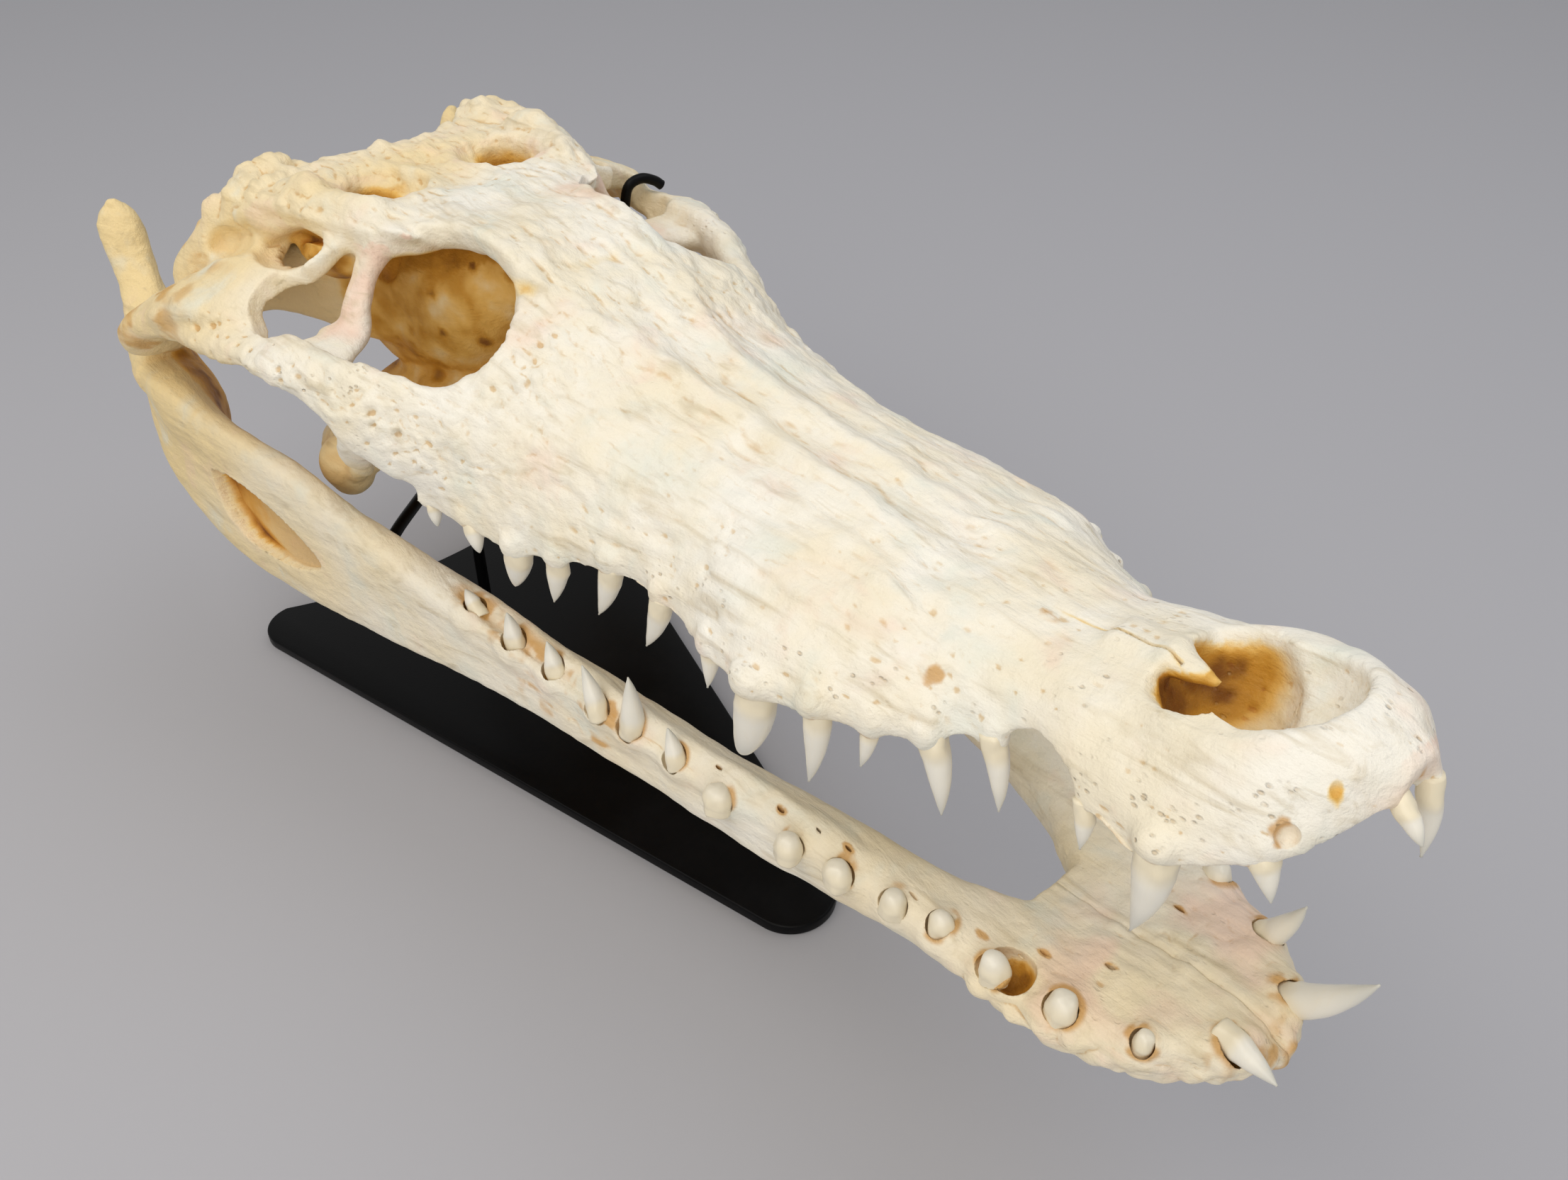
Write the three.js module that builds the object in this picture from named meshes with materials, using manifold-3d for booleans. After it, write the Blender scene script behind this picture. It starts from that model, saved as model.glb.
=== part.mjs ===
// Skull of a large crocodile with its jaws parted, on a black display stand.
// Millimetres, +Z up, +X towards the snout, the skull's midline in the plane Y = 0.
import * as THREE from 'three';
import { mergeVertices } from 'three/addons/utils/BufferGeometryUtils.js';
import Module from 'manifold-3d';

const wasm = await Module();
wasm.setup();

// Driving dimensions
const skullLength = 500; // tip of the snout to the back of the skull table
const craniumPitch = THREE.MathUtils.degToRad(6.57); // snout raised
const craniumHeight = 176.5; // tooth line over the floor, under the back of the skull table
const gape = THREE.MathUtils.degToRad(6.88);
const jointX = -54.3; // jaw joint behind the back of the skull table
const jointZ = 15.4; // jaw joint over the tooth line
const centreShift = -178; // brings the middle of the whole object over the origin
const seam = 0.3; // gap between neighbouring pieces
const boneColour = 0xeee6d0;
const boneRoughness = 0.6;
const standColour = 0x0b0b0c;
const standRoughness = 0.4;
const plateThickness = 6;
const rodRadius = 3.1; // upright
const armRadius = 2.8;
const hookRadius = 2.25;

// ---------- curves and skins ----------

function catmull(values, t) {
  const last = values.length - 1;
  const place = Math.min(Math.max(t, 0), 1) * last;
  const i = Math.min(Math.floor(place), last - 1);
  const u = place - i;
  const b = values[i];
  const c = values[i + 1];
  const a = i > 0 ? values[i - 1] : 2 * b - c;
  const d = i + 2 <= last ? values[i + 2] : 2 * c - b;
  return b + 0.5 * u * (c - a + u * (2 * a - 5 * b + 4 * c - d + u * (3 * (b - c) + d - a)));
}

function track(points, t) {
  return new THREE.Vector3(
    catmull(points.map((p) => p[0]), t),
    catmull(points.map((p) => p[1]), t),
    catmull(points.map((p) => p[2]), t),
  );
}

// Value at x of a table whose rows are [x, value], with smooth joins between the rows.
function profile(rows, x) {
  const first = rows[0][0];
  const last = rows[rows.length - 1][0];
  const clamped = Math.min(Math.max(x, first), last);
  let i = 0;
  while (i < rows.length - 2 && rows[i + 1][0] < clamped) i += 1;
  const [x0, y0] = rows[i];
  const [x1, y1] = rows[i + 1];
  const slope = (k) => {
    const p = rows[Math.max(k - 1, 0)];
    const q = rows[Math.min(k + 1, rows.length - 1)];
    return (q[1] - p[1]) / (q[0] - p[0]);
  };
  const h = x1 - x0;
  const u = (clamped - x0) / h;
  const m0 = slope(i) * h;
  const m1 = slope(i + 1) * h;
  const u2 = u * u;
  const u3 = u2 * u;
  return y0 * (2 * u3 - 3 * u2 + 1) + m0 * (u3 - 2 * u2 + u) + y1 * (3 * u2 - 2 * u3) + m1 * (u3 - u2);
}

// A closed skin: place(t, angle, reach) gives the point at t along it and at an angle round it.
function skin(sides, rings, place) {
  const geometry = new THREE.CylinderGeometry(1, 1, 1, sides, rings);
  const position = geometry.attributes.position;
  const spot = new THREE.Vector3();
  for (let i = 0; i < position.count; i += 1) {
    const x = position.getX(i);
    const z = position.getZ(i);
    place(position.getY(i) + 0.5, Math.atan2(z, x), Math.hypot(x, z), spot);
    position.setXYZ(i, spot.x, spot.y, spot.z);
  }
  return geometry;
}

function solid(geometry) {
  const plain = geometry.clone();
  plain.deleteAttribute('normal');
  plain.deleteAttribute('uv');
  const merged = mergeVertices(plain, 1e-4);
  const vertProperties = new Float32Array(merged.attributes.position.array);
  const triVerts = new Uint32Array(merged.index.array);
  let volume = 0;
  const corner = (k) => new THREE.Vector3().fromArray(vertProperties, triVerts[k] * 3);
  for (let k = 0; k < triVerts.length; k += 3) {
    volume += corner(k).dot(corner(k + 1).cross(corner(k + 2)));
  }
  if (volume < 0) triVerts.reverse();
  return new wasm.Manifold(new wasm.Mesh({ numProp: 3, vertProperties, triVerts }));
}

function join(pieces) {
  return pieces.reduce((whole, piece) => whole.add(piece));
}

function geometryOf(piece) {
  const mesh = piece.getMesh();
  const geometry = new THREE.BufferGeometry();
  geometry.setAttribute('position', new THREE.BufferAttribute(new Float32Array(mesh.vertProperties), 3));
  geometry.setIndex(new THREE.BufferAttribute(new Uint32Array(mesh.triVerts), 1));
  return geometry;
}

function mirrored(piece) {
  return solid(geometryOf(piece).scale(1, -1, 1));
}

function bothSides(piece) {
  return piece.add(mirrored(piece));
}

function squared(value, power) {
  return Math.sign(value) * Math.abs(value) ** power;
}

// A flat bone between two edges, each a short list of points, with a rounded section.
function ribbon({ edgeA, edgeB, thickness, sides = 6, rings = 4, power = 0.8 }) {
  const half = new THREE.Vector3();
  const middle = (t) => track(edgeA, t).add(track(edgeB, t)).multiplyScalar(0.5);
  return solid(skin(sides, rings, (t, angle, reach, spot) => {
    const centre = middle(t);
    const ahead = middle(Math.min(t + 0.02, 1)).sub(middle(Math.max(t - 0.02, 0)));
    half.copy(track(edgeB, t)).sub(centre);
    const across = ahead.cross(half).normalize();
    const depth = catmull(thickness, t) / 2;
    spot.copy(centre);
    spot.addScaledVector(half, squared(Math.cos(angle), power) * reach);
    spot.addScaledVector(across, squared(Math.sin(angle), power) * reach * depth);
  }));
}

// An ellipsoid with a given number of sides.
function egg(centre, radii, detail) {
  const geometry = new THREE.SphereGeometry(1, detail, Math.round(detail * 0.55));
  geometry.scale(...radii);
  geometry.translate(...centre);
  return solid(geometry);
}

function block(low, high) {
  const size = high.map((value, i) => value - low[i]);
  const geometry = new THREE.BoxGeometry(...size);
  geometry.translate(...low.map((value, i) => value + size[i] / 2));
  return solid(geometry);
}

// A round rod through a list of points.
function rod(points, radius, steps, sides = 10) {
  const circle = new THREE.Shape().absarc(0, 0, radius, 0, Math.PI * 2);
  const spots = points.map((p) => new THREE.Vector3(...p));
  const extrudePath = new THREE.CatmullRomCurve3(spots, false, 'centripetal');
  const curveSegments = sides / 2;
  return solid(new THREE.ExtrudeGeometry(circle, {
    steps, curveSegments, bevelEnabled: false, extrudePath,
  }));
}

// A conical tooth whose root is sunk in the bone, bent towards the throat.
function tooth(base, tip, radius) {
  const root = new THREE.Vector3(...base);
  const point = new THREE.Vector3(...tip);
  const axis = point.clone().sub(root);
  const sunk = 6;
  const bend = axis.length() * 0.06;
  root.addScaledVector(axis.clone().normalize(), -sunk);
  const fore = new THREE.Vector3(1, 0, 0).addScaledVector(axis, -axis.x / axis.lengthSq()).normalize();
  const side = axis.clone().cross(fore).normalize();
  return solid(skin(4, 1, (t, angle, reach, spot) => {
    const girth = radius * (1 - t) ** 0.55 + 0.35;
    spot.copy(root).lerp(point, t);
    spot.addScaledVector(fore, bend * 4 * t * (1 - t));
    spot.addScaledVector(fore, Math.cos(angle) * reach * girth * 1.05);
    spot.addScaledVector(side, Math.sin(angle) * reach * girth * 0.95);
  }));
}

// ---------- cranium, with x from the back of the skull table and z from the tooth line ----------

// Half width along the tooth line, narrow at the notch for the fourth lower tooth.
const snoutHalfWidth = [
  [120, 95], [150, 88.5], [180, 81], [210, 73], [235, 66.5], [255, 63.5], [275, 64],
  [300, 67.5], [322, 69], [345, 65], [368, 55], [388, 43.5], [405, 37], [420, 40.5],
  [436, 45.5], [455, 45], [472, 38.5], [486, 28], [499, 9],
];
const snoutTop = [
  [120, 80], [150, 76.5], [170, 72], [190, 64], [215, 55], [245, 48], [280, 43], [320, 37.5],
  [360, 32.5], [395, 30.5], [425, 33.5], [450, 40], [470, 44], [486, 44], [499, 38],
];
const toothLine = [
  [120, 10], [150, 2], [172, -1], [193, -5], [213, -3], [239, 1.5], [265, 0], [296, -1.5],
  [322, -3], [345, -0.5], [379, 0], [395, 4], [408, 12], [418, 12], [430, 4], [448, 1.5],
  [470, 8.5], [486, 16], [499, 27],
];

function snoutSkin() {
  const back = 146;
  const front = skullLength - 1;
  return solid(skin(16, 14, (t, angle, reach, spot) => {
    const x = back + (front - back) * (1 - (1 - t) ** 1.25);
    const half = profile(snoutHalfWidth, x);
    const top = profile(snoutTop, x);
    const low = profile(toothLine, x);
    const side = Math.cos(angle);
    const rise = Math.sin(angle);
    const y = half * squared(side, 0.62);
    const crown = 1 - Math.abs(squared(side, 0.62)) ** 2.4;
    const vault = 4 * (1 - Math.abs(side) ** 3);
    const z = rise >= 0 ? low + (top - low) * crown ** 0.62 : low + vault;
    spot.set(x, y * reach, low + (z - low) * reach + (1 - reach) * (top - low) * 0.4);
  }));
}

function nostril() {
  const opening = egg([458, 0, 43], [22, 22, 17], 9);
  const floor = egg([440, 0, 28], [13, 18, 22], 6);
  const spine = ribbon({
    edgeA: [[408, -10, 27], [428, -9, 30], [444, -6, 32]],
    edgeB: [[408, 8, 27], [428, 4, 30], [444, -3.4, 32]],
    thickness: [6, 6, 3],
    rings: 2,
  });
  return { hole: opening.add(floor), spine };
}

// Roof between the orbits and the skull table behind them, with the two upper fenestrae.
const roofHalfWidth = [
  [-36, 44], [-20, 57], [-6, 66], [8, 68], [33, 65], [50, 61], [66, 57], [80, 52],
  [92, 40], [108, 30], [130, 29], [150, 30], [168, 26], [186, 10],
];
const roofTop = [[-36, 86], [0, 90], [60, 89], [100, 88], [130, 86], [150, 80], [168, 71], [186, 58]];
const roofDepth = [[-36, 12], [0, 18], [60, 18], [90, 14], [130, 13], [186, 24]];

function skullTable() {
  const back = -34;
  const front = 186;
  const roof = solid(skin(12, 10, (t, angle, reach, spot) => {
    const x = back + (front - back) * t;
    const side = squared(Math.cos(angle), 0.6);
    const half = profile(roofHalfWidth, x);
    const corner = 5 * Math.exp(-(((x + 14) / 18) ** 2)) * side ** 4;
    const rim = x < 92 ? -2.5 * side ** 2 : 3 * side ** 4 - 1.5;
    const depth = profile(roofDepth, x);
    const middle = profile(roofTop, x) + rim + corner - depth / 2;
    spot.set(x, half * side * reach, middle + squared(Math.sin(angle), 0.3) * reach * depth / 2);
  }));
  const notch = egg([-50, 0, 90], [50, 50, 60], 8);
  const dish = egg([42, 28, 98], [25, 21, 19], 8);
  const upperFenestra = dish.add(egg([37, 33, 76], [14, 10, 30], 5));
  return roof.subtract(notch).subtract(bothSides(upperFenestra));
}

function braincase() {
  const wall = ribbon({
    edgeA: [[150, 0, 72], [110, 0, 66], [70, 0, 72], [20, 0, 80], [-8, 0, 80]],
    edgeB: [[150, 0, 66], [110, 0, 46], [70, 0, 6], [20, 0, -8], [-8, 0, 8]],
    thickness: [10, 14, 52, 64, 66],
    sides: 8,
  });
  const backPlate = ribbon({
    edgeA: [[-12, 0, 82], [-18, 40, 82], [-34, 64, 72], [-52, 82, 58]],
    edgeB: [[-14, 0, 34], [-18, 34, 44], [-32, 60, 42], [-50, 82, 47]],
    thickness: [16, 15, 13, 9],
  });
  const condyle = egg([-26, 0, 38], [11, 12, 10], 6);
  const foramen = egg([-26, 0, 58], [16, 10, 9], 6);
  return join([wall, bothSides(backPlate), condyle]).subtract(foramen);
}

// Quadrate and quadratojugal, from under the skull table back to the jaw joint.
function quadrate() {
  const sheet = ribbon({
    edgeA: [[64, 54, 78], [34, 56, 74], [0, 62, 66], [-34, 74, 46], [-58, 82, 24], [-66, 86, 14]],
    edgeB: [[44, 100, 51], [28, 109, 50], [4, 117, 47], [-24, 122, 38], [-56, 126, 24], [-68, 124, 14]],
    thickness: [9, 11, 13, 17, 22, 15],
    sides: 6,
    rings: 7,
  });
  const innerRoot = ribbon({
    edgeA: [[60, 14, 60], [20, 30, 66], [-20, 58, 56], [-52, 84, 28]],
    edgeB: [[50, 14, 14], [14, 34, 24], [-24, 64, 30], [-58, 96, 14]],
    thickness: [20, 18, 16, 18],
    sides: 5,
    rings: 4,
  });
  const ear = egg([31, 69, 70], [26, 14, 8], 7);
  const temporalGap = egg([56, 88, 60], [17, 14, 22], 8);
  return join([sheet, innerRoot, squamosal()]).subtract(ear.add(temporalGap));
}

// Wing from the rear corner of the skull table down behind the ear.
function squamosal() {
  return ribbon({
    edgeA: [[-12, 58, 87], [-25, 64, 84], [-34, 74, 75], [-48, 82, 61], [-58, 85, 48]],
    edgeB: [[26, 64, 80], [6, 71, 71], [-14, 80, 60], [-34, 88, 48], [-52, 94, 38]],
    thickness: [12, 12, 12, 13, 15],
  });
}

function jugal() {
  return ribbon({
    edgeA: [
      [-30, 116, 43], [8, 104, 48], [38, 92, 50], [70, 92, 51],
      [98, 90, 53], [118, 86, 51], [145, 73, 48], [180, 58, 44],
    ],
    edgeB: [
      [-34, 119, 28], [8, 117, 37], [38, 114, 40], [68, 112, 42],
      [98, 104, 35], [120, 98, 22], [147, 86, 8], [180, 76, 4],
    ],
    thickness: [10, 10, 10, 11, 12, 13, 14, 10],
    sides: 6,
    rings: 7,
  });
}

// Bar behind the orbit, running down inside the upper edge of the cheek.
function postorbitalBar() {
  return ribbon({
    edgeA: [[56, 46, 82], [63, 50, 76], [64, 60, 60], [62, 71, 45], [52, 98, 42]],
    edgeB: [[98, 42, 83], [84, 48, 78], [80, 59, 60], [88, 71, 45], [106, 98, 42]],
    thickness: [14, 10, 9, 10, 14],
  });
}

// Palate: the midline bar, the wing of each side and the flange that guides the lower jaw.
function palate() {
  const bar = ribbon({
    edgeA: [[175, 26, 4], [130, 15, 2], [90, 17, 0], [50, 34, -4], [8, 26, -2]],
    edgeB: [[175, -26, 4], [130, -15, 2], [90, -17, 0], [50, -34, -4], [8, -26, -2]],
    thickness: [16, 14, 16, 16, 14],
  });
  const wing = ribbon({
    edgeA: [[84, 8, 0], [78, 34, -8], [58, 58, -16], [40, 74, -18]],
    edgeB: [[4, 6, -2], [-4, 34, -12], [-4, 58, -28], [10, 72, -38]],
    thickness: [14, 11, 14, 17],
  });
  const strut = ribbon({
    edgeA: [[44, 70, -28], [82, 76, -8], [114, 86, 16], [136, 86, 30]],
    edgeB: [[18, 76, -38], [64, 82, -14], [100, 95, 17], [118, 94, 40]],
    thickness: [15, 11, 11, 12],
    rings: 4,
    sides: 5,
  });
  const knob = ribbon({
    edgeA: [[80, 30, -6], [66, 54, -14], [55, 74, -20]],
    edgeB: [[40, 34, -12], [34, 56, -22], [33, 77, -30]],
    thickness: [11, 13, 17],
    rings: 2,
    sides: 5,
  }).add(egg([42, 74.5, -25], [14, 11.5, 14.5], 6));
  return join([bar, bothSides(wing), bothSides(strut), bothSides(knob)]);
}

function orbit() {
  return egg([132, 59, 74], [38, 30, 34], 9);
}

// Upper teeth of one side: where each leaves the bone, its tip and its radius.
const upperTeeth = [
  [[150, 84, 1], [152, 85, -6], 3.4], [[172, 80, -1.2], [175.9, 81, -9.5], 4],
  [[193.5, 74.4, -5.4], [188, 75.4, -21.6], 5.8], [[212.7, 69.3, -3.2], [207, 70.3, -22.1], 4.7],
  [[238.7, 63, 2], [227.4, 64, -21.1], 4.5], [[264.6, 60.7, -0.1], [253.5, 61.7, -22.8], 4.4],
  [[295.9, 63.9, -1.3], [293.7, 64.9, -17.3], 3.6], [[321.9, 62.5, -1.7], [312.3, 67, -32.5], 7.2],
  [[345.5, 61.8, 1], [340.8, 62.8, -29.6], 4.8], [[361.3, 54.9, -1.4], [358, 55.9, -16.9], 3.1],
  [[378.6, 45.9, -1.1], [382.9, 46.9, -26.2], 4.8], [[395.1, 37.8, 1.9], [398.2, 38.8, -19.9], 4],
  [[429.8, 40.6, 1.2], [430.1, 41.6, -10.5], 3.2], [[453.7, 39.5, 5.1], [449.3, 43, -26], 6],
  [[477.2, 31.6, 11.6], [481.8, 32.6, 1.6], 3.7], [[496.5, 7, 24], [501, 7.5, 4], 3.3],
];

function upperToothRow() {
  return join(upperTeeth.map(([base, tip, radius]) => tooth(base, tip, radius)));
}

function wholeCranium() {
  const { hole, spine } = nostril();
  const snout = snoutSkin().subtract(hole).add(spine);
  const sides = bothSides(join([quadrate(), jugal(), postorbitalBar()]));
  const bone = join([snout, skullTable(), braincase(), sides, palate()]);
  return bone.subtract(bothSides(orbit())).add(bothSides(upperToothRow()));
}

// Space of one cheek: outside the skull table in plan, above the jaw muscles' hollow in profile.
function cheekSpace(grow) {
  const plan = new THREE.Shape([
    [-120, 94], [-56, 94], [-36, 88], [-26, 75], [92, 75],
    [112, 56], [300, 50], [300, 180], [-120, 180],
  ].map(([x, y]) => new THREE.Vector2(x, y - grow * Math.sign(120 - y))));
  const profileOutline = new THREE.Shape([
    [-120, 0], [-10, 4], [60, 22], [98, 12], [128, -60], [300, -60], [300, 160], [-120, 160],
  ].map(([x, z]) => new THREE.Vector2(x - (x > 0 ? grow : 0), z - grow)));
  const column = new THREE.ExtrudeGeometry(plan, { depth: 260, bevelEnabled: false });
  column.translate(0, 0, -100);
  const slab = new THREE.ExtrudeGeometry(profileOutline, { depth: 260, bevelEnabled: false });
  slab.rotateX(Math.PI / 2);
  slab.translate(0, 200, 0);
  return solid(column).intersect(solid(slab));
}

function craniumParts() {
  const whole = wholeCranium();
  const snoutBack = 170;
  const far = 700;
  const snout = whole.intersect(block([snoutBack + seam, -far, -far], [far, far, far]));
  const rear = whole.intersect(block([-far, -far, -far], [snoutBack, far, far]));
  const cheek = rear.intersect(cheekSpace(0));
  const braincaseAndRoof = rear.subtract(bothSides(cheekSpace(seam)));
  return { snout, cheek, braincaseAndRoof };
}

// ---------- lower jaw, with x and z from the jaw joint ----------

const jawOuter = [
  [-52, 110], [-30, 117], [0, 121], [30, 120], [70, 115], [130, 103], [190, 91], [250, 79],
  [310, 68], [360, 60.5], [400, 54], [430, 49], [455, 46], [480, 44.5], [500, 40],
  [515, 33], [530, 20], [540, 6],
];
const jawThickness = [
  [-52, 20], [-30, 31], [-6, 33], [14, 26], [40, 21], [110, 19], [200, 22], [300, 22],
  [380, 23], [430, 27], [458, 40], [466, 46], [500, 42], [540, 8],
];
const jawTop = [
  [-52, -6], [-36, -13], [-12, -13], [10, -12], [40, -14], [90, -14], [140, -24], [200, -34],
  [260, -38], [330, -40], [390, -37], [420, -40], [455, -42], [490, -38], [515, -34],
  [530, -34], [540, -38],
];
const jawBottom = [
  [-52, -28], [-36, -46], [-20, -62], [0, -74], [25, -85], [50, -91], [90, -92], [140, -86],
  [200, -76], [260, -71], [330, -68], [390, -64], [440, -62], [480, -62], [510, -58],
  [530, -52], [540, -46],
];

function ramus() {
  const back = -52;
  const front = 540;
  return solid(skin(8, 16, (t, angle, reach, spot) => {
    const x = back + (front - back) * t;
    const outer = profile(jawOuter, x);
    const thick = Math.min(profile(jawThickness, x), outer + 6);
    const top = profile(jawTop, x);
    const bottom = profile(jawBottom, x);
    const rise = squared(Math.sin(angle), 0.8);
    const fade = THREE.MathUtils.smoothstep(430 - x, 0, 80);
    const hollow = 0.8 * Math.max(thick / 2 - 6, 0) * rise ** 2 * fade;
    const y = outer - thick / 2 + hollow + squared(Math.cos(angle), 0.7) * reach * thick * 0.5;
    const z = (top + bottom) / 2 + rise * reach * (top - bottom) * 0.5;
    spot.set(x, y, z);
  }));
}

// Lever behind the joint that opens the jaw.
function retroarticular() {
  return ribbon({
    edgeA: [[-16, 96, -16], [-42, 90, -6], [-62, 86, 10], [-74, 86, 34]],
    edgeB: [[-16, 120, -30], [-44, 114, -24], [-68, 105, 0], [-84, 101, 30]],
    thickness: [30, 22, 15, 12],
  });
}

// Long opening in the side of the jaw, behind the tooth row.
function jawFenestra() {
  const floorY = 101; // stands in the thickness of the bone, so the opening is shallow in front
  const outline = new THREE.Shape([
    [46, -42], [48, -52], [54, -63], [67, -71], [92, -71], [110, -66],
    [122, -58], [112, -49], [97, -43], [82, -38], [62, -37],
  ].map(([x, z]) => new THREE.Vector2(x, -z)));
  const geometry = new THREE.ExtrudeGeometry(outline, { depth: 40, bevelEnabled: false });
  geometry.rotateX(-Math.PI / 2);
  geometry.translate(0, floorY, 0);
  return solid(geometry);
}

// Lower teeth of one side, each as where it leaves the bone, its tip and its radius.
const lowerTeeth = [
  [[531, 13, -35], [549, 14, -18], 4.7], [[512, 30, -36.5], [517, 30, -22], 3.8],
  [[326.9, 64.2, -40.9], [323.5, 64.2, -30.2], 4], [[304, 66, -40.3], [304.9, 67.2, -16.8], 5],
  [[288.3, 70, -39.8], [281.8, 72, -24.3], 4.4], [[261.1, 72.3, -39], [257.6, 72.3, -28.7], 4.2],
  [[238.5, 76.1, -37.6], [235.8, 76.1, -26.6], 4.3], [[213.7, 78.6, -35.9], [207.5, 78.6, -31.2], 4],
];

function lowerToothRow() {
  return join(lowerTeeth.map(([base, tip, radius]) => tooth(base, tip, radius)));
}

function leftJaw() {
  const bone = ramus().subtract(jawFenestra()).add(retroarticular()).add(lowerToothRow());
  const farSide = block([-200, -200, -200], [700, seam / 2, 200]);
  return bone.subtract(farSide);
}

// ---------- stand ----------

const standNose = 342.7; // where the two long edges of the plate would meet
const standHalfAngle = THREE.MathUtils.degToRad(14.77);

function standPlate() {
  const corner = 18;
  const back = -70;
  const tip = new THREE.Vector2(260.5, 0);
  const tipRadius = (standNose - tip.x) * Math.sin(standHalfAngle);
  const cornerToNose = standNose - (back + corner);
  const backY = cornerToNose * Math.tan(standHalfAngle) - corner / Math.cos(standHalfAngle);
  const lean = Math.PI / 2 - standHalfAngle;
  const outline = new THREE.Shape();
  outline.absarc(tip.x, tip.y, tipRadius, -lean, lean, false);
  outline.absarc(back + corner, backY, corner, lean, Math.PI, false);
  outline.quadraticCurveTo(back + 36, 0, back, -backY);
  outline.absarc(back + corner, -backY, corner, Math.PI, 2 * Math.PI - lean, false);
  const bevel = 0.8;
  const geometry = new THREE.ExtrudeGeometry(outline, {
    depth: plateThickness - 2 * bevel,
    curveSegments: 5,
    bevelSize: bevel,
    bevelThickness: bevel,
    bevelOffset: -bevel,
    bevelSegments: 1,
  });
  geometry.translate(0, 0, bevel);
  return solid(geometry);
}

const postX = 2;
const postTop = 166;
const armHeight = 124;

function standPost() {
  return rod([[postX, 0, plateThickness + seam], [postX, 0, 90], [postX, 0, postTop]], rodRadius, 3);
}

function standArm(side) {
  const start = rodRadius + seam;
  return rod([
    [postX + start, side * start, armHeight],
    [postX + 34, side * 34, armHeight],
    [postX + 60, side * 68, armHeight - 1],
    [postX + 66, side * 76, armHeight - 12],
    [postX + 67, side * 78, armHeight - 25],
    [postX + 68, side * 84, armHeight - 32],
    [postX + 69, side * 94, armHeight - 32],
  ], armRadius, 10, 6);
}

// A point given in the cranium's own directions, in those of the stand.
function fromCranium(x, y, z) {
  const spot = new THREE.Vector3(x, y, z).applyAxisAngle(new THREE.Vector3(0, 1, 0), -craniumPitch);
  return [spot.x, spot.y, spot.z + craniumHeight];
}

// Rises behind the wing of the palate and hangs over the left cheek bar.
function standHook() {
  return rod([
    [postX, rodRadius + seam, 108],
    [postX + 6, 40, 108],
    [postX + 12, 76, 110],
    fromCranium(16, 86, -46),
    fromCranium(20, 87, -20),
    fromCranium(33, 86, 14),
    fromCranium(42, 85.5, 36),
    fromCranium(46, 86, 48),
    fromCranium(47.5, 88.5, 57.5),
    fromCranium(48.5, 95, 60.5),
    fromCranium(49.5, 101.5, 58),
    fromCranium(50, 105.5, 54.5),
  ], hookRadius, 18, 6);
}

// ---------- assembly ----------

function meshOf(name, piece, color, roughness) {
  const material = new THREE.MeshStandardMaterial({ color, roughness, metalness: 0 });
  const geometry = geometryOf(piece);
  geometry.computeVertexNormals();
  const mesh = new THREE.Mesh(geometry, material);
  mesh.name = name;
  return mesh;
}

const cranium = new THREE.Group();
cranium.position.z = craniumHeight;
cranium.rotation.y = -craniumPitch;

const jaw = new THREE.Group();
jaw.position.set(jointX, 0, jointZ);
jaw.rotation.y = gape;
cranium.add(jaw);

const stand = new THREE.Group();

const { snout, cheek, braincaseAndRoof } = craniumParts();
cranium.add(meshOf('snout', snout, boneColour, boneRoughness));
cranium.add(meshOf('braincase', braincaseAndRoof, boneColour, boneRoughness));
cranium.add(meshOf('cheek_left', cheek, boneColour, boneRoughness));
cranium.add(meshOf('cheek_right', mirrored(cheek), boneColour, boneRoughness));

const left = leftJaw();
jaw.add(meshOf('mandible_left', left, boneColour, boneRoughness));
jaw.add(meshOf('mandible_right', mirrored(left), boneColour, boneRoughness));

stand.add(meshOf('stand_plate', standPlate(), standColour, standRoughness));
stand.add(meshOf('stand_post', standPost(), standColour, standRoughness));
stand.add(meshOf('stand_arm_left', standArm(1), standColour, standRoughness));
stand.add(meshOf('stand_arm_right', standArm(-1), standColour, standRoughness));
stand.add(meshOf('stand_hook', standHook(), standColour, standRoughness));

const group = new THREE.Group();
group.add(cranium, stand);
group.position.x = centreShift;

export default group;
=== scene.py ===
import math
from itertools import product
import bpy
import bmesh
import numpy as np
from mathutils import Matrix, Vector
from mathutils.bvhtree import BVHTree
from mathutils.kdtree import KDTree


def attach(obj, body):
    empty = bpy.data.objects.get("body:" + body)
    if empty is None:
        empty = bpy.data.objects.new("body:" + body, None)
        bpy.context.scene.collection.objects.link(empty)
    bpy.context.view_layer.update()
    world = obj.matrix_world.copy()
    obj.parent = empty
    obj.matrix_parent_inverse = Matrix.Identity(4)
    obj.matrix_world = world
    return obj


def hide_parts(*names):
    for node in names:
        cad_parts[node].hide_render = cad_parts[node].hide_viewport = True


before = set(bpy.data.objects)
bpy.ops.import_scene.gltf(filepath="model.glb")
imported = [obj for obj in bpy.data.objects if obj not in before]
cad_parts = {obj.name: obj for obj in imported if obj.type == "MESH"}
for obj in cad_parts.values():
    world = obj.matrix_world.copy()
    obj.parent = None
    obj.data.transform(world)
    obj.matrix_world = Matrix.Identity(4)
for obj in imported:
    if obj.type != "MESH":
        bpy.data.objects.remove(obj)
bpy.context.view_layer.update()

# where the bones stand, in mm and degrees; the skull is modelled level and then tipped up
pose = {
    "shift": -178,
    "craniumHeight": 176.5,
    "craniumPitch": 6.57,
    "jawJoint": (-54.3, 0, 15.4),
    "gape": 6.88,
}
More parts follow.
